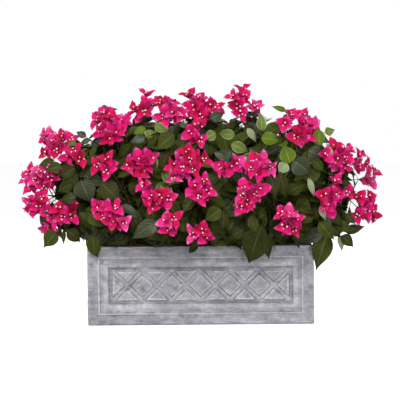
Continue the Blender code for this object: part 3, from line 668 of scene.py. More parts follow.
class Blade:
    """A closed thin leaf or bract in rows and columns, with an upper side and an underside.

    The two sides share their outer edges. slot_of gives an upper face's slot by its shares along and
    across; the underside has slot 1."""

    def __init__(self, outline, columns, under_columns, thickness, quilting, slot_of):
        self.rows = len(outline)
        self.thickness = thickness
        self.quilting = quilting
        width = len(columns)
        inner = len(under_columns)
        upper_count = self.rows * width
        self.row = np.array([row for row in range(self.rows) for k in range(width)]
                            + [row for row in range(self.rows) for k in range(inner)])
        self.across = np.array(list(columns) * self.rows + list(under_columns) * self.rows)
        self.under = np.array([0.0] * upper_count + [1.0] * (self.rows * inner))
        self.half = np.array(outline)[self.row]
        faces, slots = [], []
        for row in range(self.rows - 1):
            here, above = row * width, (row + 1) * width
            for k in range(width - 1):
                faces.append((here + k, above + k, above + k + 1, here + k + 1))
                slots.append(slot_of((row + 0.5) / (self.rows - 1), (columns[k] + columns[k + 1]) / 2))
            chains = []
            for level in (row, row + 1):
                first = upper_count + level * inner
                chains.append([level * width, *range(first, first + inner), level * width + width - 1])
            for k in range(inner + 1):
                faces.append((chains[0][k], chains[0][k + 1], chains[1][k + 1], chains[1][k]))
                slots.append(1)
        tip_upper = upper_count - width
        tip_under = upper_count + (self.rows - 1) * inner
        faces.append((*range(width), *reversed(range(upper_count, upper_count + inner))))
        faces.append((*reversed(range(tip_upper, upper_count)), *range(tip_under, tip_under + inner)))
        slots += [1, 1]
        self.faces = Faces(faces, slots)

    def object(self, name, blades, materials):
        """One joined mesh. Each blade is a root, direction, face, length, width and its bends."""
        table = np.array([
            (*root, *direction, *face, length, width, *bends)
            for root, direction, face, length, width, bends in blades
        ])
        root = table[:, None, 0:3]
        direction = unit(table[:, 3:6])
        sideways = unit(np.cross(table[:, 6:9], direction))
        face = np.cross(direction, sideways)
        length, width, arch, curl, fold, twist, phase, waviness = (table[:, k, None] for k in range(9, 17))
        share = np.linspace(0, 1, self.rows)
        angle = arch * share + curl * share ** 2
        between = (angle[:, 1:] + angle[:, :-1]) / 2
        step = length / (self.rows - 1)
        start = np.zeros((len(table), 1))
        forward = np.concatenate((start, np.cumsum(np.cos(between) * step, axis=1)), axis=1)[:, self.row]
        sunk = np.concatenate((start, np.cumsum(np.sin(between) * step, axis=1)), axis=1)[:, self.row]
        angle, share = angle[:, self.row], share[self.row]
        lifted = face[:, None] * np.cos(angle)[..., None] + direction[:, None] * np.sin(angle)[..., None]
        turn = (twist * share)[..., None]
        beside = sideways[:, None] * np.cos(turn) + lifted * np.sin(turn)
        upward = lifted * np.cos(turn) - sideways[:, None] * np.sin(turn)
        reach = self.half * width / 2
        off_middle = np.abs(self.across)
        wave = np.sin(FULL_TURN * EDGE_WAVES * share + phase) * self.across * off_middle
        quilt = np.cos(FULL_TURN * SIDE_VEINS * (share - VEIN_SLANT * off_middle))
        quilt = -self.quilting * quilt * 4 * off_middle * (1 - off_middle)
        rise = reach * (off_middle * np.sin(fold) + waviness * wave) + quilt - self.under * self.thickness
        places = root + direction[:, None] * forward[..., None] - face[:, None] * sunk[..., None]
        places = places + beside * (reach * self.across * np.cos(fold))[..., None] + upward * rise[..., None]
        uvs = np.tile(np.stack((share, self.across / 2 + 0.5), axis=1), (len(table), 1))
        faces = self.faces.repeated(len(table), len(self.row))
        return mesh_from_arrays(name, places.reshape(-1, 3), faces, materials, math.radians(70), uvs)


def tube_places(routes, radii, sides):
    """Corners of tapering round tubes along routes with as many points each."""
    routes = np.asarray(routes, dtype=float)
    radii = np.asarray(radii, dtype=float)
    ahead = unit(np.gradient(routes, axis=1))
    helper = np.where(np.abs(ahead[..., 2:3]) < 0.9, (0.0, 0.0, 1.0), (1.0, 0.0, 0.0))
    first = unit(np.cross(ahead, helper))
    second = np.cross(ahead, first)
    turns = (np.arange(sides) * FULL_TURN / sides)[:, None]
    ring = first[..., None, :] * np.cos(turns) + second[..., None, :] * np.sin(turns)
    return routes[..., None, :] + ring * radii[..., None, None]


def tube_faces(points, sides):
    """Faces of one tube with flat ends."""
    faces = []
    for k in range(points - 1):
        low = k * sides
        for s in range(sides):
            t = (s + 1) % sides
            faces.append((low + s, low + t, low + sides + t, low + sides + s))
    faces.append(tuple(reversed(range(sides))))
    faces.append(tuple(range((points - 1) * sides, points * sides)))
    return Faces(faces)


def tube_object(name, routes, radii, sides, material):
    """Many tubes joined in one mesh."""
    points = len(routes[0])
    places = tube_places(routes, radii, sides)
    faces = tube_faces(points, sides).repeated(len(routes), points * sides)
    return mesh_from_arrays(name, places.reshape(-1, 3), faces, [material], math.radians(60))


# Planter

def lattice_distance(x, y, shift):
    """Distance to the nearest of the lattice's strips, which cross at 45 degrees."""
    distances = []
    for slope in (1, -1):
        offset = (x + shift - slope * y) / LATTICE_PITCH
        distances.append(abs(offset - round(offset)) * LATTICE_PITCH / math.sqrt(2))
    return min(distances)


def crossings_along(length):
    return round((length - 2 * PANEL_INSET) / LATTICE_PITCH)


def side_height(x, y, length, height):
    """Relief of a side at a place measured from its middle."""
    inwards = min(length / 2 - abs(x), height / 2 - abs(y))
    depth = on_profile(BEAD_PROFILE, inwards)
    if inwards <= PANEL_INSET:
        return depth
    shift = 0 if crossings_along(length) % 2 else LATTICE_PITCH / 2
    pad = on_profile(STRIP_PROFILE, lattice_distance(x, y, shift))
    ledge = on_profile(FRAME_LEDGE, inwards - PANEL_INSET)
    return depth + min(pad, ledge + STRIP_RISE)


def rectangle_lines(half_length, half_height):
    corners = (
        (-half_length, -half_height), (half_length, -half_height),
        (half_length, half_height), (-half_length, half_height),
    )
    return [(corners[k], corners[(k + 1) % 4]) for k in range(4)]


def clipped(middle, slope, half_length, half_height):
    """The part of the line x = middle + slope * y that lies in the panel, or nothing."""
    crossed = sorted((limit - middle) / slope for limit in (-half_length, half_length))
    low = max(-half_height, crossed[0])
    high = min(half_height, crossed[1])
    if high - low < SHORTEST_LINE:
        return []
    return [((middle + slope * low, low), (middle + slope * high, high))]


def side_lines(length, height):
    """Lines that the side's faces follow: its frame's steps and the lattice's edges."""
    lines = []
    insets = [inwards for inwards, level in BEAD_PROFILE]
    insets += [PANEL_INSET + inwards for inwards, level in FRAME_LEDGE[1:]]
    for inwards in insets:
        lines += rectangle_lines(length / 2 - inwards, height / 2 - inwards)
    offsets = sorted({side * distance for distance, level in STRIP_PROFILE for side in (-1, 1)})
    crossings = crossings_along(length)
    for n in range(-1, crossings + 1):
        middle = (n - (crossings - 1) / 2) * LATTICE_PITCH
        for offset in offsets:
            shifted = middle + offset * math.sqrt(2)
            for slope in (1, -1):
                lines += clipped(shifted, slope, length / 2 - PANEL_INSET, height / 2 - PANEL_INSET)
    return lines


def edge_steps(length):
    """Places along a side of the planter: close together at both ends, then evenly spaced."""
    inner = length / 2 - CORNER_STEPS[-1]
    count = round(2 * inner / STONE_SPACING)
    steps = [-length / 2] + [-length / 2 + step for step in CORNER_STEPS]
    steps += [-inner + 2 * inner * k / count for k in range(1, count)]
    steps += [length / 2 - step for step in reversed(CORNER_STEPS)] + [length / 2]
    return steps


def triangulated(length, height, lines):
    """Triangles over a rectangle, with edges along its border steps and the given lines."""
    points = [Vector((x, y)) for x in edge_steps(length) for y in edge_steps(height)]
    borders = []
    for step in (0, *CORNER_STEPS):
        x, y = length / 2 - step, height / 2 - step
        for side in (-1, 1):
            borders.append(((side * x, -height / 2), (side * x, height / 2)))
            borders.append(((-length / 2, side * y), (length / 2, side * y)))
    edges = []
    for start, end in borders + lines:
        points += [Vector(start), Vector(end)]
        edges.append((len(points) - 2, len(points) - 1))
    found = geometry.delaunay_2d_cdt(points, edges, [], 0, MERGE_DISTANCE)
    return found[0], found[2]


def rounded(place):
    """A place on the planter's sharp box moved onto the box with rounded edges."""
    middle = Vector((0, 0, PLANTER_HEIGHT / 2))
    halves = Vector((PLANTER_LENGTH / 2, PLANTER_DEPTH / 2, PLANTER_HEIGHT / 2))
    from_middle = place - middle
    inner = Vector([
        max(-half + CORNER_RADIUS, min(half - CORNER_RADIUS, part))
        for part, half in zip(from_middle, halves)
    ])
    return middle + inner + (from_middle - inner).normalized() * CORNER_RADIUS


def stain_and_foot_shadow_at(place, dirt):
    """How brown the stone is round the stains on the front, most of all in the grooves, and how dark along
    its foot, where it is a painted shadow.
    """
    if place.z < FOOT_LEVEL:
        # the dark line along the foot is a painted shadow
        return FOOT_SHADOW
    if place.y > -PLANTER_DEPTH / 4:
        return 0.0
    near = max(
        math.exp(-((place.x - x) ** 2 + (place.z - z) ** 2) / radius ** 2) for x, z, radius in STAINS
    )
    return near * (OPEN_STAIN + (1 - OPEN_STAIN) * dirt)


class StonePatches:
    """The planter's faces, gathered in one mesh with their weathering."""

    def __init__(self):
        self.bm = bmesh.new()
        layers = self.bm.verts.layers.float
        for name in WEATHER_LAYERS:
            layers.new(name)
        self.chalk, self.dirt, self.tone, self.stain_and_foot_shadow = (layers[name] for name in WEATHER_LAYERS)

    def add(self, matrix, length, height, lines, relief, tone, keep=None):
        """One face of the box: its relief, chalk and painted highlight on its edges, and dirt and painted
        shade in its corners.
        """
        points, faces = triangulated(length, height, lines)
        outward = matrix.to_3x3() @ Vector((0, 0, 1))
        corners = []
        for point in points:
            x, y = point
            level = relief(x, y)
            corner = self.bm.verts.new(rounded(matrix @ Vector((x, y, 0))) + outward * level)
            around = [relief(x + EDGE_SPAN, y), relief(x - EDGE_SPAN, y),
                      relief(x, y + EDGE_SPAN), relief(x, y - EDGE_SPAN)]
            edge = (level - sum(around) / 4) / EDGE_HEIGHT
            inwards = min(length / 2 - abs(x), height / 2 - abs(y))
            # raised places and the box's edges turn pale: partly chalk, partly painted highlight
            border = BORDER_CHALK_AND_HIGHLIGHT * max(1 - inwards / EDGE_BORDER, 0)
            corner[self.chalk] = min(max(edge, 0) + border, 1)
            # sunk places turn dark: partly dirt, partly painted shade
            corner[self.dirt] = min(max(-edge, 0), 1)
            # tone by zone, with a painted highlight on the bead and painted shade beside it and in the
            # groove
            corner[self.tone] = on_profile(tone, inwards)
            # brown stains, and the painted shadow along the foot
            corner[self.stain_and_foot_shadow] = stain_and_foot_shadow_at(corner.co, corner[self.dirt])
            corners.append(corner)
        for face in faces:
            middle = sum((points[k] for k in face), Vector((0, 0))) / 3
            if keep is None or keep(middle):
                self.bm.faces.new([corners[k] for k in face])

    def hollow(self, mouth_x, mouth_y):
        """Walls and floor of the hollow, drawn down from the rim's inner edge."""
        bmesh.ops.remove_doubles(self.bm, verts=self.bm.verts, dist=MERGE_DISTANCE)
        border = [edge for edge in self.bm.edges if edge.is_boundary]
        made = bmesh.ops.extrude_edge_only(self.bm, edges=border)["geom"]
        for item in made:
            if isinstance(item, bmesh.types.BMVert):
                item.co.x *= 1 - PLANTER_DRAFT / mouth_x
                item.co.y *= 1 - PLANTER_DRAFT / mouth_y
                item.co.z = PLANTER_FLOOR
        floor_edges = [item for item in made if isinstance(item, bmesh.types.BMEdge) and item.is_boundary]
        bmesh.ops.contextual_create(self.bm, geom=floor_edges)

    def roughen(self):
        """Slight unevenness of the cast surface and waver of its lines; the underside stays flat."""
        self.bm.normal_update()
        moves = []
        for corner in self.bm.verts:
            waver = noise.noise_vector(corner.co * WOBBLE_SCALE) * STONE_WOBBLE
            waver -= corner.normal * waver.dot(corner.normal)
            swell = noise.fractal(corner.co * UNEVENNESS_SCALE, 0.7, 2.1, 3)
            move = waver + corner.normal * swell * STONE_UNEVENNESS
            if corner.co.z < CORNER_RADIUS:
                move.z = 0
            moves.append(move)
        for corner, move in zip(self.bm.verts, moves):
            corner.co += move

    def object(self, name, material):
        mesh = bpy.data.meshes.new(name)
        self.bm.to_mesh(mesh)
        self.bm.free()
        mesh.shade_smooth()
        mesh.set_sharp_from_angle(angle=STONE_SHARP_ANGLE)
        return linked_object(name, mesh, material)


def planter_body(stone):
    """The trough: four sides with their relief, the rim, the hollow and the underside."""
    patches = StonePatches()
    half_length, half_depth = PLANTER_LENGTH / 2, PLANTER_DEPTH / 2
    for outward, length, reach in (
        (Vector((0, -1, 0)), PLANTER_LENGTH, half_depth), (Vector((0, 1, 0)), PLANTER_LENGTH, half_depth),
        (Vector((-1, 0, 0)), PLANTER_DEPTH, half_length), (Vector((1, 0, 0)), PLANTER_DEPTH, half_length),
    ):
        along = Vector((0, 0, 1)).cross(outward)
        turn = Matrix((along, (0, 0, 1), outward)).transposed().to_4x4()
        side = Matrix.Translation(outward * reach + Vector((0, 0, PLANTER_HEIGHT / 2))) @ turn
        patches.add(side, length, PLANTER_HEIGHT, side_lines(length, PLANTER_HEIGHT),
                    lambda x, y, length=length: side_height(x, y, length, PLANTER_HEIGHT), ZONE_TONE_AND_SHADING)
    mouth_x, mouth_y = half_length - PLANTER_WALL, half_depth - PLANTER_WALL
    level_tone = ((0, TOP_TONE),)
    patches.add(Matrix.Translation((0, 0, PLANTER_HEIGHT)), PLANTER_LENGTH, PLANTER_DEPTH,
                rectangle_lines(mouth_x, mouth_y), lambda x, y: 0.0, level_tone,
                keep=lambda middle: abs(middle.x) > mouth_x or abs(middle.y) > mouth_y)
    patches.add(Matrix.Rotation(math.pi, 4, "X"), PLANTER_LENGTH, PLANTER_DEPTH, [], lambda x, y: 0.0,
                level_tone)
    patches.hollow(mouth_x, mouth_y)
    patches.roughen()
    return patches.object("planter_body", stone)


# Filling

def moss_height(x, y):
    """Level of the filling's lumpy top, which mounds up towards the middle."""
    across = 1 - abs(x) / (PLANTER_LENGTH / 2 - PLANTER_WALL)
    along = 1 - abs(y) / (PLANTER_DEPTH / 2 - PLANTER_WALL)
    mound = min(1, 4 * max(min(across * 2.5, along), 0))
    lumps = noise.fractal(Vector((x, y, 0)) * LUMP_SCALE, 0.8, 2.0, 4) * LUMP_HEIGHT
    return MOSS_LEVEL - MOSS_DIP + MOSS_MOUND * mound + lumps * mound


def moss_bed(material):
    """The top of the filling, down to the hollow's floor."""
    bm = bmesh.new()
    half_x = PLANTER_LENGTH / 2 - PLANTER_WALL - MOSS_MARGIN
    half_y = PLANTER_DEPTH / 2 - PLANTER_WALL - MOSS_MARGIN
    bmesh.ops.create_grid(bm, x_segments=130, y_segments=42, size=1)
    for corner in bm.verts:
        corner.co.x *= half_x
        corner.co.y *= half_y
        corner.co.z = moss_height(corner.co.x, corner.co.y)
    border = [edge for edge in bm.edges if edge.is_boundary]
    made = bmesh.ops.extrude_edge_only(bm, edges=border)["geom"]
    for item in made:
        if isinstance(item, bmesh.types.BMVert):
            item.co.x *= 1 - PLANTER_DRAFT / half_x
            item.co.y *= 1 - PLANTER_DRAFT / half_y
            item.co.z = PLANTER_FLOOR + MOSS_MARGIN
    bottom = [item for item in made if isinstance(item, bmesh.types.BMEdge) and item.is_boundary]
    bmesh.ops.contextual_create(bm, geom=bottom)
    bmesh.ops.recalc_face_normals(bm, faces=bm.faces)
    mesh = bpy.data.meshes.new("moss_bed")
    bm.to_mesh(mesh)
    bm.free()
    mesh.shade_smooth()
    return linked_object("moss_bed", mesh, material)


def moss_strands(material, rng):
    """Loose curled fibres on the filling."""
    routes, radii = [], []
    limit_x, limit_y = STRAND_LIMIT
    for n in range(MOSS_STRANDS):
        x, y = [rng.uniform(-reach, reach) for reach in STRAND_START]
        heading = rng.uniform(0, FULL_TURN)
        route = []
        for k in range(TUBE_POINTS):
            lift = STRAND_LIFT + STRAND_LOOP * math.sin(math.pi * k / (TUBE_POINTS - 1)) * rng.random()
            route.append((x, y, moss_height(x, y) + lift))
            heading += rng.uniform(-0.9, 0.9)
            x = max(-limit_x, min(limit_x, x + STRAND_STEP * math.cos(heading)))
            y = max(-limit_y, min(limit_y, y + STRAND_STEP * math.sin(heading)))
        routes.append(route)
        radii.append(STRAND_RADII)
    return tube_object("moss_strands", routes, radii, 4, material)


# Limbs, by the rule of the solids

def mass_places():
    """Middle of each mass's space, by name."""
    places = {}
    for name, side in (("front", -1), ("back", 1)):
        for n in range(ROW_COUNT):
            step = n - (ROW_COUNT - 1) / 2
            setback = side * ROW_SETBACK * (1 - ROW_BOW * step ** 2)
            places[f"{name}_{n + 1}"] = Vector((step * ROW_PITCH, setback, ROW_LEVEL))
    for n in range(TOP_COUNT):
        step = n - (TOP_COUNT - 1) / 2
        setback = TOP_SETBACK * (-1 if n % 2 else 1)
        places[f"top_{n + 1}"] = Vector((step * TOP_PITCH, setback, TOP_LEVEL))
    for name, side in (("left", -1), ("right", 1)):
        places[f"{name}_end"] = Vector((side * END_REACH, 0, END_LEVEL))
    return places


def stem_points():
    """Foot and top of each stem."""
    stems = []
    for n in range(STEM_COUNT):
        step = n - (STEM_COUNT - 1) / 2
        foot = Vector((step * STEM_PITCH, 0, FILL_LEVEL))
        stems.append((foot, Vector((step * (STEM_PITCH + STEM_SPREAD / 2), 0, STEM_TOP))))
    return stems


def masses_by_stem(places, stems):
    carried = [[] for stem in stems]
    for name, place in places.items():
        share = place.x / (ROW_PITCH * 2)
        nearest = round((share + 1) / 2 * (len(stems) - 1))
        carried[min(max(nearest, 0), len(stems) - 1)].append(name)
    return carried


def ring_angles(headings):
    spacing = FULL_TURN / len(headings)
    across = sum(math.cos(heading - n * spacing) for n, heading in enumerate(headings))
    along = sum(math.sin(heading - n * spacing) for n, heading in enumerate(headings))
    start = math.atan2(along, across)
    return [start + n * spacing for n in range(len(headings))]


def bough_route(start, place):
    """Points of a bough that starts upright and bends over towards its mass."""
    bend = start + Vector((0, 0, BOUGH_UPRIGHT))
    handle = start + Vector((0, 0, BOUGH_RISE))
    end = handle.lerp(place, BOUGH_SHARE)
    route = [start]
    for k in range(BOUGH_POINTS):
        t = k / (BOUGH_POINTS - 1)
        route.append(bend * (1 - t) ** 2 + handle * 2 * t * (1 - t) + end * t ** 2)
    return route


def bough_routes(places, stems):
    routes = {}
    for (foot, top), names in zip(stems, masses_by_stem(places, stems)):
        def heading(name):
            return math.atan2(places[name].y - top.y, places[name].x - top.x)

        names.sort(key=heading)
        for name, angle in zip(names, ring_angles([heading(name) for name in names])):
            ring = Vector((math.cos(angle), math.sin(angle), 0)) * BOUGH_RING
            routes[name] = bough_route(top + ring, places[name])
    return routes


def barked(name, routes, radii, sides, ridge, material):
    """Limbs joined in one mesh, with ridges and knots in their surface."""
    points = len(routes[0])
    places = tube_places(routes, radii, sides).reshape(-1, 3)
    middles = np.repeat(np.array(routes).reshape(-1, 3), sides, axis=0)
    swollen = []
    for place, middle in zip(places, middles):
        out = Vector(place - middle)
        grain = Vector((*(out.normalized() * 2.5).xy, place[2] * 45)) + Vector(middle) * 9
        swollen.append(Vector(middle) + out * (1 + ridge * noise.noise(grain)))
    faces = tube_faces(points, sides).repeated(len(routes), points * sides)
    return mesh_from_arrays(name, swollen, faces, [material], math.radians(60))


def barked_stems(stems, material):
    count = 14
    routes = [[foot.lerp(top, k / (count - 1)) for k in range(count)] for foot, top in stems]
    taper = [STEM_FOOT_RADIUS + (STEM_RADIUS - STEM_FOOT_RADIUS) * min(k / 3, 1) for k in range(count)]
    return barked("stems", routes, [taper] * len(stems), 20, 0.22, material)


def barked_boughs(routes, material):
    last = BOUGH_POINTS
    taper = [BOUGH_RADIUS + (BOUGH_TIP_RADIUS - BOUGH_RADIUS) * k / last for k in range(last + 1)]
    return barked("boughs", list(routes.values()), [taper] * len(routes), 10, 0.25, material)


# Crown

def used(place, halves, share=1.0):
    """How far out a place lies in a rounded body: 0 in its middle, 1 on its surface."""
    height = halves["above"] if place.z > CROWN_LEVEL else halves["below"]
    parts = (place.x / halves["length"], place.y / halves["depth"], (place.z - CROWN_LEVEL) / height)
    return sum(abs(part / share) ** CROWN_POWER for part in parts)


def face_of(halves, across, up):
    """How far a rounded body stands out in front of its middle at a place on its outline's plane."""
    return halves["depth"] * max(1 - used(Vector((across, 0, up)), halves), 0) ** CROWN_ROUNDING


def outward_at(place):
    """Direction in which the crown's surface faces at a place."""
    from_middle = place - Vector((0, 0, CROWN_LEVEL))
    height = CROWN_HALVES["above"] if from_middle.z > 0 else CROWN_HALVES["below"]
    facing = Vector([
        math.copysign(abs(part / half) ** (CROWN_POWER - 1), part) / half
        for part, half in zip(from_middle, (CROWN_HALVES["length"], CROWN_HALVES["depth"], height))
    ])
    return facing.normalized() if facing.length > 0 else Vector((0, 0, 1))


def camera_axes():
    ahead = (CAMERA_AIM - CAMERA_PLACE).normalized()
    right = ahead.cross(Vector((0, 0, 1))).normalized()
    turn = Matrix.Rotation(-CAMERA_ROLL, 3, ahead)
    return turn @ right, turn @ right.cross(ahead), ahead


def at_pixel(across, down, depth):
    """Place on the upright plane at a depth that a pixel of the photograph shows."""
    right, up, ahead = camera_axes()
    ray = right * (across - PHOTO_SIZE / 2) - up * (down - PHOTO_SIZE / 2) + ahead * FOCAL_PIXELS
    return CAMERA_PLACE + ray * ((depth - CAMERA_PLACE.y) / ray.y)


def on_surface(halves, across, down):
    """Place on a rounded body's front that a pixel of the photograph shows."""
    depth = -halves["depth"]
    for step in range(24):
        place = at_pixel(across, down, depth)
        depth = (depth - face_of(halves, place.x, place.z)) / 2
    return at_pixel(across, down, depth)


def turned_towards(facing, heading, lean):
    """A facing leaned over to a side; heading is an angle in the picture, 0 to its right."""
    side = Vector((math.cos(heading), 0, math.sin(heading)))
    side = (side - facing * side.dot(facing)).normalized()
    return facing * math.cos(lean) + side * math.sin(lean)


def middle_of(head):
    return sum((place for place, facing in head), Vector()) / len(head)


def facing_of(head):
    return sum((facing for place, facing in head), Vector()).normalized()


def front_florets(rng):
    """Middle and facing of every floret on the front, by head."""
    heads = []
    for florets in FRONT_HEADS:
        spots = [on_surface(CROWN_HALVES, *floret[:2]) for floret in florets]
        middle = sum(spots, Vector()) / len(spots)
        facing = (TO_VIEWER + outward_at(middle) * HEAD_OUTWARDS).normalized()
        head = []
        for spot, floret in zip(spots, florets):
            offset = spot - middle
            if len(floret) > 2:
                heading, lean = math.radians(floret[2]), math.radians(floret[3])
            else:
                heading = math.atan2(offset.z, offset.x) + rng.uniform(-0.4, 0.4)
                lean = FLORET_LEAN * min(offset.length / LEAN_REACH, 1) + rng.uniform(0, 0.25)
            dome = HEAD_DOME * (1 - min(offset.length / DOME_REACH, 1))
            head.append((spot + facing * dome, turned_towards(facing, heading, lean)))
        heads.append(head)
    return heads


def fillers(head):
    """Florets set back between a head's own and round its middle, which close it."""
    facing = facing_of(head)
    middle = middle_of(head)
    inner = [
        (place.lerp(middle, 0.6) - facing * INNER_SINK, (turned + facing).normalized())
        for place, turned in head[::2] if len(head) > 3
    ]
    return inner + [
        (place.lerp(other, 0.5) - facing * FILLER_SINK, (turned + other_turned + facing * 0.5).normalized())
        for (place, turned), (other, other_turned) in zip(head, head[1:])
    ]


def behind(head, rng):
    """A front head mirrored to the back, moved along the camera's line of sight to stay hidden by it."""
    middle = middle_of(head)
    ratio = (-middle.y - CAMERA_PLACE.y) / (middle.y - CAMERA_PLACE.y)
    moved = CAMERA_PLACE + (middle - CAMERA_PLACE) * ratio
    moved.z = max(moved.z, LOWEST_HEAD)
    moved += Vector((rng.uniform(-BACK_SHIFT, BACK_SHIFT), 0, rng.uniform(-BACK_SHIFT, 0)))
    mirrored = []
    for place, facing in head:
        offset = place - middle
        mirrored.append((moved + offset * TO_BACK, facing * TO_BACK))
    return mirrored


def ring_head(middle, facing, rng):
    """A head whose florets stand in a ring."""
    head = []
    start = rng.uniform(0, FULL_TURN)
    first = facing.orthogonal().normalized()
    second = facing.cross(first)
    for n in range(HIDDEN_FLORETS):
        angle = start + FULL_TURN * n / HIDDEN_FLORETS + rng.uniform(-0.3, 0.3)
        side = first * math.cos(angle) + second * math.sin(angle)
        lean = FLORET_LEAN * rng.uniform(0.8, 1.4)
        place = middle + side * HIDDEN_SPREAD * rng.uniform(0.8, 1.15)
        head.append((place, (facing * math.cos(lean) + side * math.sin(lean)).normalized()))
    return head


def all_heads(rng):
    heads = front_florets(rng)
    heads += [behind(head, rng) for head in heads if middle_of(head).y < -BACK_FROM]
    for place in HIDDEN_HEADS:
        middle = Vector(place)
        heads.append(ring_head(middle, outward_at(middle), rng))
    return heads


def frame_along(place, ahead, length, rng):
    """Frame whose z runs along a direction, scaled to a length."""
    turn = ahead.to_track_quat("Z", "Y").to_matrix() @ Matrix.Rotation(rng.uniform(0, FULL_TURN), 3, "Z")
    return Matrix.Translation(place) @ (turn * length).to_4x4()


def turned_about(axis, face, angle):
    across = face - axis * face.dot(axis)
    if across.length < 1e-4:
        across = axis.orthogonal()
    return Matrix.Rotation(angle, 3, axis) @ across.normalized()


class Plant:
    """Everything that grows, gathered as rows for the joined meshes."""

    def __init__(self, rng):
        self.rng = rng
        self.leaves = {tint: [] for tint in LEAF_TINTS}
        self.front_leaves = {tint: [] for tint in LEAF_TINTS}
        self.bracts = {tint: [] for tint in BRACT_TINTS}
        self.flowers = []
        self.tubes = []
        self.kept_clear = []

    def add_tube(self, start, end, start_radius, end_radius, bow=Vector()):
        """A twig that bows a little on its way."""
        middle = (start + end) / 2 + bow
        route, radii = [], []
        for k in range(TUBE_POINTS):
            t = k / (TUBE_POINTS - 1)
            route.append(start * (1 - t) ** 2 + middle * 2 * t * (1 - t) + end * t ** 2)
            radii.append(start_radius + (end_radius - start_radius) * t)
        self.tubes.append((route, radii))

    def bends(self, spans):
        return tuple(self.rng.uniform(*span) for span in spans)

    def add_floret(self, place, facing, root, tint, size=1.0, flowers=0):
        """Three bracts round small flowers, on a stalk from the head's twig."""
        rng = self.rng
        first = facing.orthogonal().normalized()
        second = facing.cross(first)
        start = rng.uniform(0, FULL_TURN)
        seat = place - facing * FLORET_SEAT
        for n in range(3):
            angle = start + n * FULL_TURN / 3 + rng.uniform(-0.2, 0.2)
            side = first * math.cos(angle) + second * math.sin(angle)
            opening = BRACT_OPENING * rng.uniform(0.72, 1.22)
            direction = facing * math.cos(opening) + side * math.sin(opening)
            face = facing * math.sin(opening) - side * math.cos(opening)
            length = rng.uniform(*BRACT_LENGTHS) * size
            width = length * rng.uniform(*BRACT_WIDTH_SHARES)
            root_place = seat + side * BRACT_SPACING
            self.bracts[tint].append(
                (root_place, direction, face, length, width, self.bends(BRACT_BENDS)))
        for n in range(flowers):
            angle = start + (n + 0.5) * FULL_TURN / flowers
            side = first * math.cos(angle) + second * math.sin(angle)
            lean = FLOWER_SPREAD * rng.uniform(0.5, 1.3)
            ahead = facing * math.cos(lean) + side * math.sin(lean)
            self.flowers.append(frame_along(seat, ahead, FLOWER_LENGTH * rng.uniform(0.8, 1.2), rng))
        self.add_tube(root, seat, STALK_RADIUS, STALK_RADIUS * 1.3, -facing * 0.004)

    def is_clear(self, place, room):
        """Whether a leaf may lie here: in the leaves' body, and off what has to show."""
        if place.z < LOWEST_LEAF or used(place, LEAF_HALVES, room) > 1:
            return False
        return all((place - middle).length > radius for middle, radius in self.kept_clear)

    def grow_leaf(self, twig_place, twig_direction, turn, size, tint, room):
        """A leaf on its stalk, turned until it is clear."""
        rng = self.rng
        outward = outward_at(twig_place)
        length = rng.uniform(*LEAF_LENGTHS) * size
        width = length * rng.uniform(*LEAF_WIDTH_SHARE)
        for attempt in range(TURN_TRIES):
            beside = turned_about(twig_direction, outward, turn + attempt * FULL_TURN / TURN_TRIES)
            direction = twig_direction * math.cos(LEAF_OPENING) + beside * math.sin(LEAF_OPENING)
            root = twig_place + direction * LEAF_STALK
            direction = (direction + Vector((0, 0, -LEAF_DROOP))).normalized()
            face = outward + Vector((0, 0, LEAF_LIFT))
            face += Vector([rng.uniform(-LEAF_DISORDER, LEAF_DISORDER) for axis in range(3)])
            tip = root + direction * length
            if self.is_clear(tip, room) and self.is_clear(root.lerp(tip, 0.5), room):
                self.leaves[tint].append((root, direction, face, length, width, self.bends(LEAF_BENDS)))
                self.add_tube(twig_place, root, STALK_RADIUS, STALK_RADIUS, Vector((0, 0, -0.001)))
                return

    def grow_spray(self, start, tip, leaves, tint, room=1.0):
        """A twig with leaves in turn along its outer end."""
        direction = (tip - start).normalized()
        rise = Vector((0, 0, TWIG_RISE * (tip - start).length))
        self.add_tube(start, tip, TWIG_RADIUS, SPRIG_RADIUS, rise)
        turn = self.rng.uniform(0, FULL_TURN)
        for n in range(leaves):
            turn += LEAF_TURN
            size = 1.0 - 0.09 * n if tint in (YOUNG, LIME) else 1.12 - 0.05 * n
            place = tip - direction * LEAF_STEP * (leaves - 1 - n)
            self.grow_leaf(place, direction, turn, size, tint, room)


def branching_point(leader, target):
    """Where on a mass's stem the twig to a target leaves it, at a slant."""
    start, end = leader
    along = end - start
    share = (target - start).dot(along) / along.length_squared
    offset = (start + along * share - target).length
    share -= TWIG_SLANT * offset / along.length
    return start + along * min(max(share, FIRST_TWIG), LAST_TWIG)


def nearest_mass(place, places):
    return min(places, key=lambda name: (places[name] - place).length)


def shoot_places(count, depth_under, heads):
    """Tips of the leafy shoots of one shell, spread evenly under the surface of the leaves' body."""
    golden_turn = math.pi * (3 - math.sqrt(5))
    centre = Vector((0, 0, CROWN_LEVEL))
    middles = [middle_of(head) for head in heads]
    tips = []
    for n in range(count):
        level = 1 - 2 * (n + 0.5) / count
        ring = math.sqrt(1 - level ** 2)
        turn = n * golden_turn
        height = LEAF_HALVES["above"] if level > 0 else LEAF_HALVES["below"]
        direction = Vector((
            LEAF_HALVES["length"] * ring * math.cos(turn),
            LEAF_HALVES["depth"] * ring * math.sin(turn),
            height * level,
        )).normalized()
        reach = used(centre + direction, LEAF_HALVES) ** (-1 / CROWN_POWER)
        tip = centre + direction * (reach - depth_under)
        tip.z = max(tip.z, LOWEST_SHOOT)
        if all((tip - middle).length > SHOOT_TO_HEAD for middle in middles):
            tips.append(tip)
    return tips


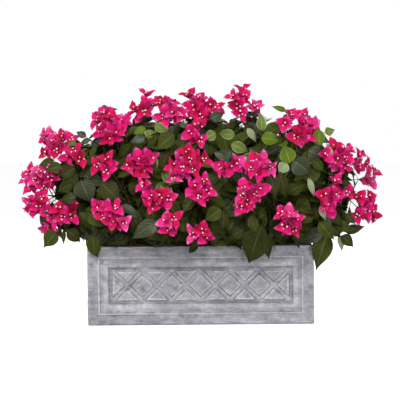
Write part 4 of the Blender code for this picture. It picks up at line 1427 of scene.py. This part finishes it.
def spray_tint(tip, shell, rng):
    """Tint of a spray: mostly dark, with young ones towards the top of the outer shell; the inner shells
    take the darker inner tint, which is painted shade.
    """
    chance = rng.random()
    if shell > 0:
        # inner shells: the darker tint, painted shade
        return INNER_SHADED
    young = YOUNG_SHARE + YOUNG_GAIN * max(tip.z - YOUNG_FROM, 0) / YOUNG_RISE
    for tint, share in ((YOUNG, young / 2), (LIME, young / 2), *TINT_SHARES):
        if chance < share:
            return tint
        chance -= share
    return DARK


def grow_front_leaves(plant, leaders, places):
    """The leaves that the photograph shows, each on a stalk from its mass's stem."""
    rng = plant.rng
    for root_x, root_y, tip_x, tip_y, width, tint in FRONT_LEAVES:
        surface = on_surface(CROWN_HALVES, root_x, root_y).y
        depth = tip_depth = surface + LEAF_SET_BACK
        if at_pixel(tip_x, tip_y, depth).z < PLANTER_HEIGHT + RIM_CLEARANCE:
            front = -PLANTER_DEPTH / 2 - RIM_CLEARANCE
            depth = min(surface + RIM_SET_BACK, front)
            tip_depth = depth + (front - depth) * RIM_HANG
        tip = at_pixel(tip_x, tip_y, tip_depth)
        root = at_pixel(root_x, root_y, depth)
        length = (tip - root).length * LEAF_SLACK
        pixel = (depth - CAMERA_PLACE.y) / FOCAL_PIXELS
        face = Vector((rng.uniform(-0.3, 0.3), -1, rng.uniform(0.0, 0.45)))
        direction = (tip - root).normalized()
        plant.front_leaves[tint].append(
            (root, direction, face, length, width * pixel * FRONT_WIDENING, plant.bends(LEAF_BENDS)))
        leader = leaders[nearest_mass(root, places)]
        bow = Vector((0, 0, 0.004))
        plant.add_tube(branching_point(leader, root), root, SPRIG_RADIUS, STALK_RADIUS, bow)
        middle = root.lerp(tip, 0.5) + Vector((0, -CLEAR_OF_HEAD, 0))
        plant.kept_clear.append((middle, CLEAR_OF_LEAF + length * LEAF_SHARE_CLEAR))


def grow_front_twigs(plant, leaders, places):
    """The twigs that the photograph shows, each carried on from its mass's stem."""
    for start_x, start_y, end_x, end_y in FRONT_TWIGS:
        depth = on_surface(CROWN_HALVES, end_x, end_y).y + TWIG_SET_BACK
        start = at_pixel(start_x, start_y, depth + TWIG_SET_BACK)
        leader = leaders[nearest_mass(start, places)]
        plant.add_tube(branching_point(leader, start), start, TWIG_RADIUS, TWIG_RADIUS)
        plant.add_tube(start, at_pixel(end_x, end_y, depth), TWIG_RADIUS, STALK_RADIUS)


def grow(rng):
    """The whole plant, its stems and its boughs' routes."""
    plant = Plant(rng)
    places = mass_places()
    stems = stem_points()
    routes = bough_routes(places, stems)
    heads = all_heads(rng)
    leaders = {}
    for name, place in places.items():
        start = routes[name][-1]
        leaders[name] = (start, place + (place - start) * LEADER_OVERRUN)
        plant.add_tube(*leaders[name], LEADER_RADIUS, TWIG_RADIUS)
    for head in heads:
        middle = middle_of(head)
        spread = max((place - middle).length for place, turned in head)
        plant.kept_clear.append((middle + facing_of(head) * CLEAR_OF_HEAD, spread + CLEAR_OF_HEAD))
    grow_front_leaves(plant, leaders, places)
    grow_front_twigs(plant, leaders, places)
    for head in heads:
        middle = middle_of(head)
        root = middle - facing_of(head) * HEAD_DEPTH
        start = branching_point(leaders[nearest_mass(middle, places)], root)
        tint = spray_tint(root, 0, rng)
        plant.grow_spray(start, root, LEAVES_ON_HEAD_TWIG, tint, HEAD_TWIG_ROOM)
        for place, turned in head:
            tint = rng.choices(list(BRACT_TINTS), weights=BRACT_TINT_WEIGHTS)[0]
            plant.add_floret(place, turned, root, tint, flowers=rng.choice(FLOWERS_IN_FLORET))
        for place, turned in fillers(head):
            tint = rng.choices(list(BRACT_TINTS), weights=BRACT_TINT_WEIGHTS)[0]
            plant.add_floret(place, turned, root, tint, FILLER_SIZE, 0)
    for shell, (count, depth_under) in enumerate(SHOOT_SHELLS):
        for tip in shoot_places(count, depth_under, heads):
            start = branching_point(leaders[nearest_mass(tip, places)], tip)
            plant.grow_spray(start, tip, LEAVES_ON_SHOOT, spray_tint(tip, shell, rng))
    return plant, stems, routes


# Pieces of the plant

def leaf_slot(along, across):
    """Slot of an upper leaf face: its rib, its margin or its body."""
    if abs(across) < RIB_HALF:
        return 2
    return 3 if abs(across) > MARGIN_START else 0


def bract_slot(along, across):
    """Slot of an upper bract face: its throat with painted shade, its tip with painted highlight, or its
    body.
    """
    if along < THROAT_END:
        return 2
    return 3 if along > TIP_START else 0


def fine_outline():
    """The leaf's outline in many rows."""
    rows = np.linspace(0, len(LEAF_OUTLINE) - 1, FINE_ROWS)
    return np.interp(rows, range(len(LEAF_OUTLINE)), LEAF_OUTLINE)


def flower_shape():
    """A slim tube that opens into a five-pointed star, one unit long: its corners and faces."""
    sides = 10
    rings = ((0.0, 0.05), (0.35, 0.075), (0.84, 0.065), (0.95, 0.09))
    places, faces, slots = [], [], []
    turns = [FULL_TURN * s / sides for s in range(sides)]
    for level, radius in rings:
        places += [(radius * math.cos(turn), radius * math.sin(turn), level) for turn in turns]
    for s, turn in enumerate(turns):
        radius = 0.10 if s % 2 else 0.165
        places.append((radius * math.cos(turn), radius * math.sin(turn), 1.0))
    for k in range(len(rings)):
        for s in range(sides):
            t = (s + 1) % sides
            faces.append((k * sides + s, k * sides + t, (k + 1) * sides + t, (k + 1) * sides + s))
            slots.append(0 if k < 2 else 1)
    last = len(rings) * sides
    places.append((0, 0, 0.95))
    for s in range(sides):
        faces.append((last + s, last + (s + 1) % sides, last + sides))
        slots.append(1)
    faces.append(tuple(reversed(range(sides))))
    slots.append(0)
    return np.array(places), Faces(faces, slots)


def flower_object(frames, materials):
    """All the small flowers joined in one mesh."""
    places, faces = flower_shape()
    frames = np.array([np.array(item) for item in frames])
    moved = np.einsum("nij,mj->nmi", frames[:, :3, :3], places) + frames[:, None, :3, 3]
    return mesh_from_arrays("flowers", moved.reshape(-1, 3), faces.repeated(len(frames), len(places)),
                            materials, math.radians(50))


def dress(piece, slot, *nodes):
    """Puts a piece on the body and hides the nodes that it stands for; its slot is not used."""
    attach(piece, "root")
    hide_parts(*nodes)


def build_limbs(stems, routes, bark):
    stem_nodes = sorted(name for name in frame["nodes"] if name.startswith("stem_"))
    boughs = sorted(name for name in frame["nodes"] if name.startswith("bough_"))
    dress(barked_stems(stems, bark), "bark", *stem_nodes)
    dress(barked_boughs(routes, bark), "bark", *boughs)


def build_plant(rng):
    plant, stems, routes = grow(rng)
    masses = sorted(name for name in frame["nodes"] if name.startswith("mass_"))
    build_limbs(stems, routes, bark_material("bark", srgb(104, 84, 52), srgb(54, 42, 22), 90))
    green_bark = bark_material("green_twig", srgb(84, 82, 38), srgb(50, 44, 20), 160)
    twigs = tube_object("twigs", [route for route, radii in plant.tubes],
                        [radii for route, radii in plant.tubes], TUBE_SIDES, green_bark)
    dress(twigs, "foliage", *masses)
    inner = Blade(INNER_OUTLINE, INNER_COLUMNS, INNER_UNDER_COLUMNS, LEAF_THICKNESS, 0,
                  lambda along, across: 0)
    outer = Blade(LEAF_OUTLINE, LEAF_COLUMNS, LEAF_UNDER_COLUMNS, LEAF_THICKNESS, 0, leaf_slot)
    fine = Blade(fine_outline(), FINE_COLUMNS, FINE_COLUMNS[1:-1], LEAF_THICKNESS, QUILTING, leaf_slot)
    for tint, colours in LEAF_TINTS.items():
        gloss = LEAF_GLOSS.get(tint, PLAIN_GLOSS)
        materials = [leaf_material(f"leaf_{tint}{part}", colour, *gloss)
                     for part, colour in zip(LEAF_SLOTS, colours)]
        blade = inner if tint == INNER_SHADED else outer
        for name, shape, rows in (
            ("leaves", blade, plant.leaves), ("front_leaves", fine, plant.front_leaves),
        ):
            if rows[tint]:
                dress(shape.object(f"{name}_{tint}", rows[tint], materials), "foliage", *masses)
    bract = Blade(BRACT_OUTLINE, BRACT_COLUMNS, BRACT_UNDER_COLUMNS, BRACT_THICKNESS, 0, bract_slot)
    for tint, colours in BRACT_TINTS.items():
        materials = [bract_material(f"bract_{tint}{part}", colour)
                     for part, colour in zip(BRACT_SLOTS, colours)]
        dress(bract.object(f"bracts_{tint}", plant.bracts[tint], materials), "foliage", *masses)
    tube = plain_material("flower_tube", (0.50, 0.02, 0.07), 0.6)
    cream = plain_material("flower_cream", srgb(252, 246, 226), 0.6)
    dress(flower_object(plant.flowers, [tube, cream]), "foliage", *masses)


def build_planter(rng):
    dress(planter_body(stone_material()), "cast_stone", "planter")
    moss = moss_material("moss", srgb(124, 100, 74), srgb(60, 46, 30))
    dress(moss_bed(moss), "moss", "filling")
    fibre = moss_material("fibre", srgb(150, 128, 94), srgb(90, 72, 48))
    dress(moss_strands(fibre, rng), "moss", "filling")


# Stage

def glow_to_camera(tree, shader, glow):
    """Adds light that only the camera sees, so that a pale surface doesn't light the plant."""
    path = tree.nodes.new("ShaderNodeLightPath")
    scale = tree.nodes.new("ShaderNodeMath")
    scale.operation = "MULTIPLY"
    scale.inputs[1].default_value = glow
    tree.links.new(path.outputs["Is Camera Ray"], scale.inputs[0])
    tree.links.new(scale.outputs[0], shader.inputs["Emission Strength"])


def floor():
    """A white studio floor that keeps a faint shade under the planter."""
    bm = bmesh.new()
    bmesh.ops.create_grid(bm, x_segments=1, y_segments=1, size=30)
    mesh = bpy.data.meshes.new("floor")
    bm.to_mesh(mesh)
    bm.free()
    material = bpy.data.materials.new("floor")
    material.use_nodes = True
    shader = material.node_tree.nodes["Principled BSDF"]
    shader.inputs["Base Color"].default_value = (0.55, 0.55, 0.55, 1)
    shader.inputs["Roughness"].default_value = 1.0
    shader.inputs["Specular IOR Level"].default_value = 0.0
    shader.inputs["Emission Color"].default_value = (1, 1, 1, 1)
    glow_to_camera(material.node_tree, shader, FLOOR_GLOW)
    thing = linked_object("floor", mesh, material)
    thing.location.z = -FLOOR_GAP


def world():
    """White all round as the camera sees it, and a softer light on the plant."""
    scene_world = bpy.data.worlds.new("studio")
    bpy.context.scene.world = scene_world
    scene_world.use_nodes = True
    tree = scene_world.node_tree
    light = tree.nodes["Background"]
    light.inputs["Color"].default_value = (1, 1, 1, 1)
    light.inputs["Strength"].default_value = WORLD_LIGHT
    seen = tree.nodes.new("ShaderNodeBackground")
    seen.inputs["Color"].default_value = (1, 1, 1, 1)
    seen.inputs["Strength"].default_value = 1.0
    path = tree.nodes.new("ShaderNodeLightPath")
    mix = tree.nodes.new("ShaderNodeMixShader")
    tree.links.new(path.outputs["Is Camera Ray"], mix.inputs["Fac"])
    tree.links.new(light.outputs["Background"], mix.inputs[1])
    tree.links.new(seen.outputs["Background"], mix.inputs[2])
    tree.links.new(mix.outputs["Shader"], tree.nodes["World Output"].inputs["Surface"])


def softbox(name, place, size, watts):
    """A square area light that looks at the crown's middle."""
    light = bpy.data.lights.new(name, "AREA")
    light.size = size
    light.energy = watts
    thing = bpy.data.objects.new(name, light)
    thing.location = place
    aim = LIGHT_AIM - Vector(place)
    thing.rotation_euler = aim.to_track_quat("-Z", "Y").to_euler()
    bpy.context.scene.collection.objects.link(thing)


def camera():
    data = bpy.data.cameras.new("camera")
    data.sensor_width = SENSOR_WIDTH
    data.lens = FOCAL_PIXELS / PHOTO_SIZE * SENSOR_WIDTH
    right, up, ahead = camera_axes()
    thing = bpy.data.objects.new("camera", data)
    thing.matrix_world = Matrix.Translation(CAMERA_PLACE) @ Matrix((right, up, -ahead)).transposed().to_4x4()
    bpy.context.scene.collection.objects.link(thing)
    bpy.context.scene.camera = thing


def studio():
    floor()
    world()
    for light in SOFTBOXES:
        softbox(*light)
    camera()
    bpy.context.scene.view_settings.view_transform = "Standard"


rng = random.Random(SEED)
build_planter(rng)
build_plant(rng)
studio()
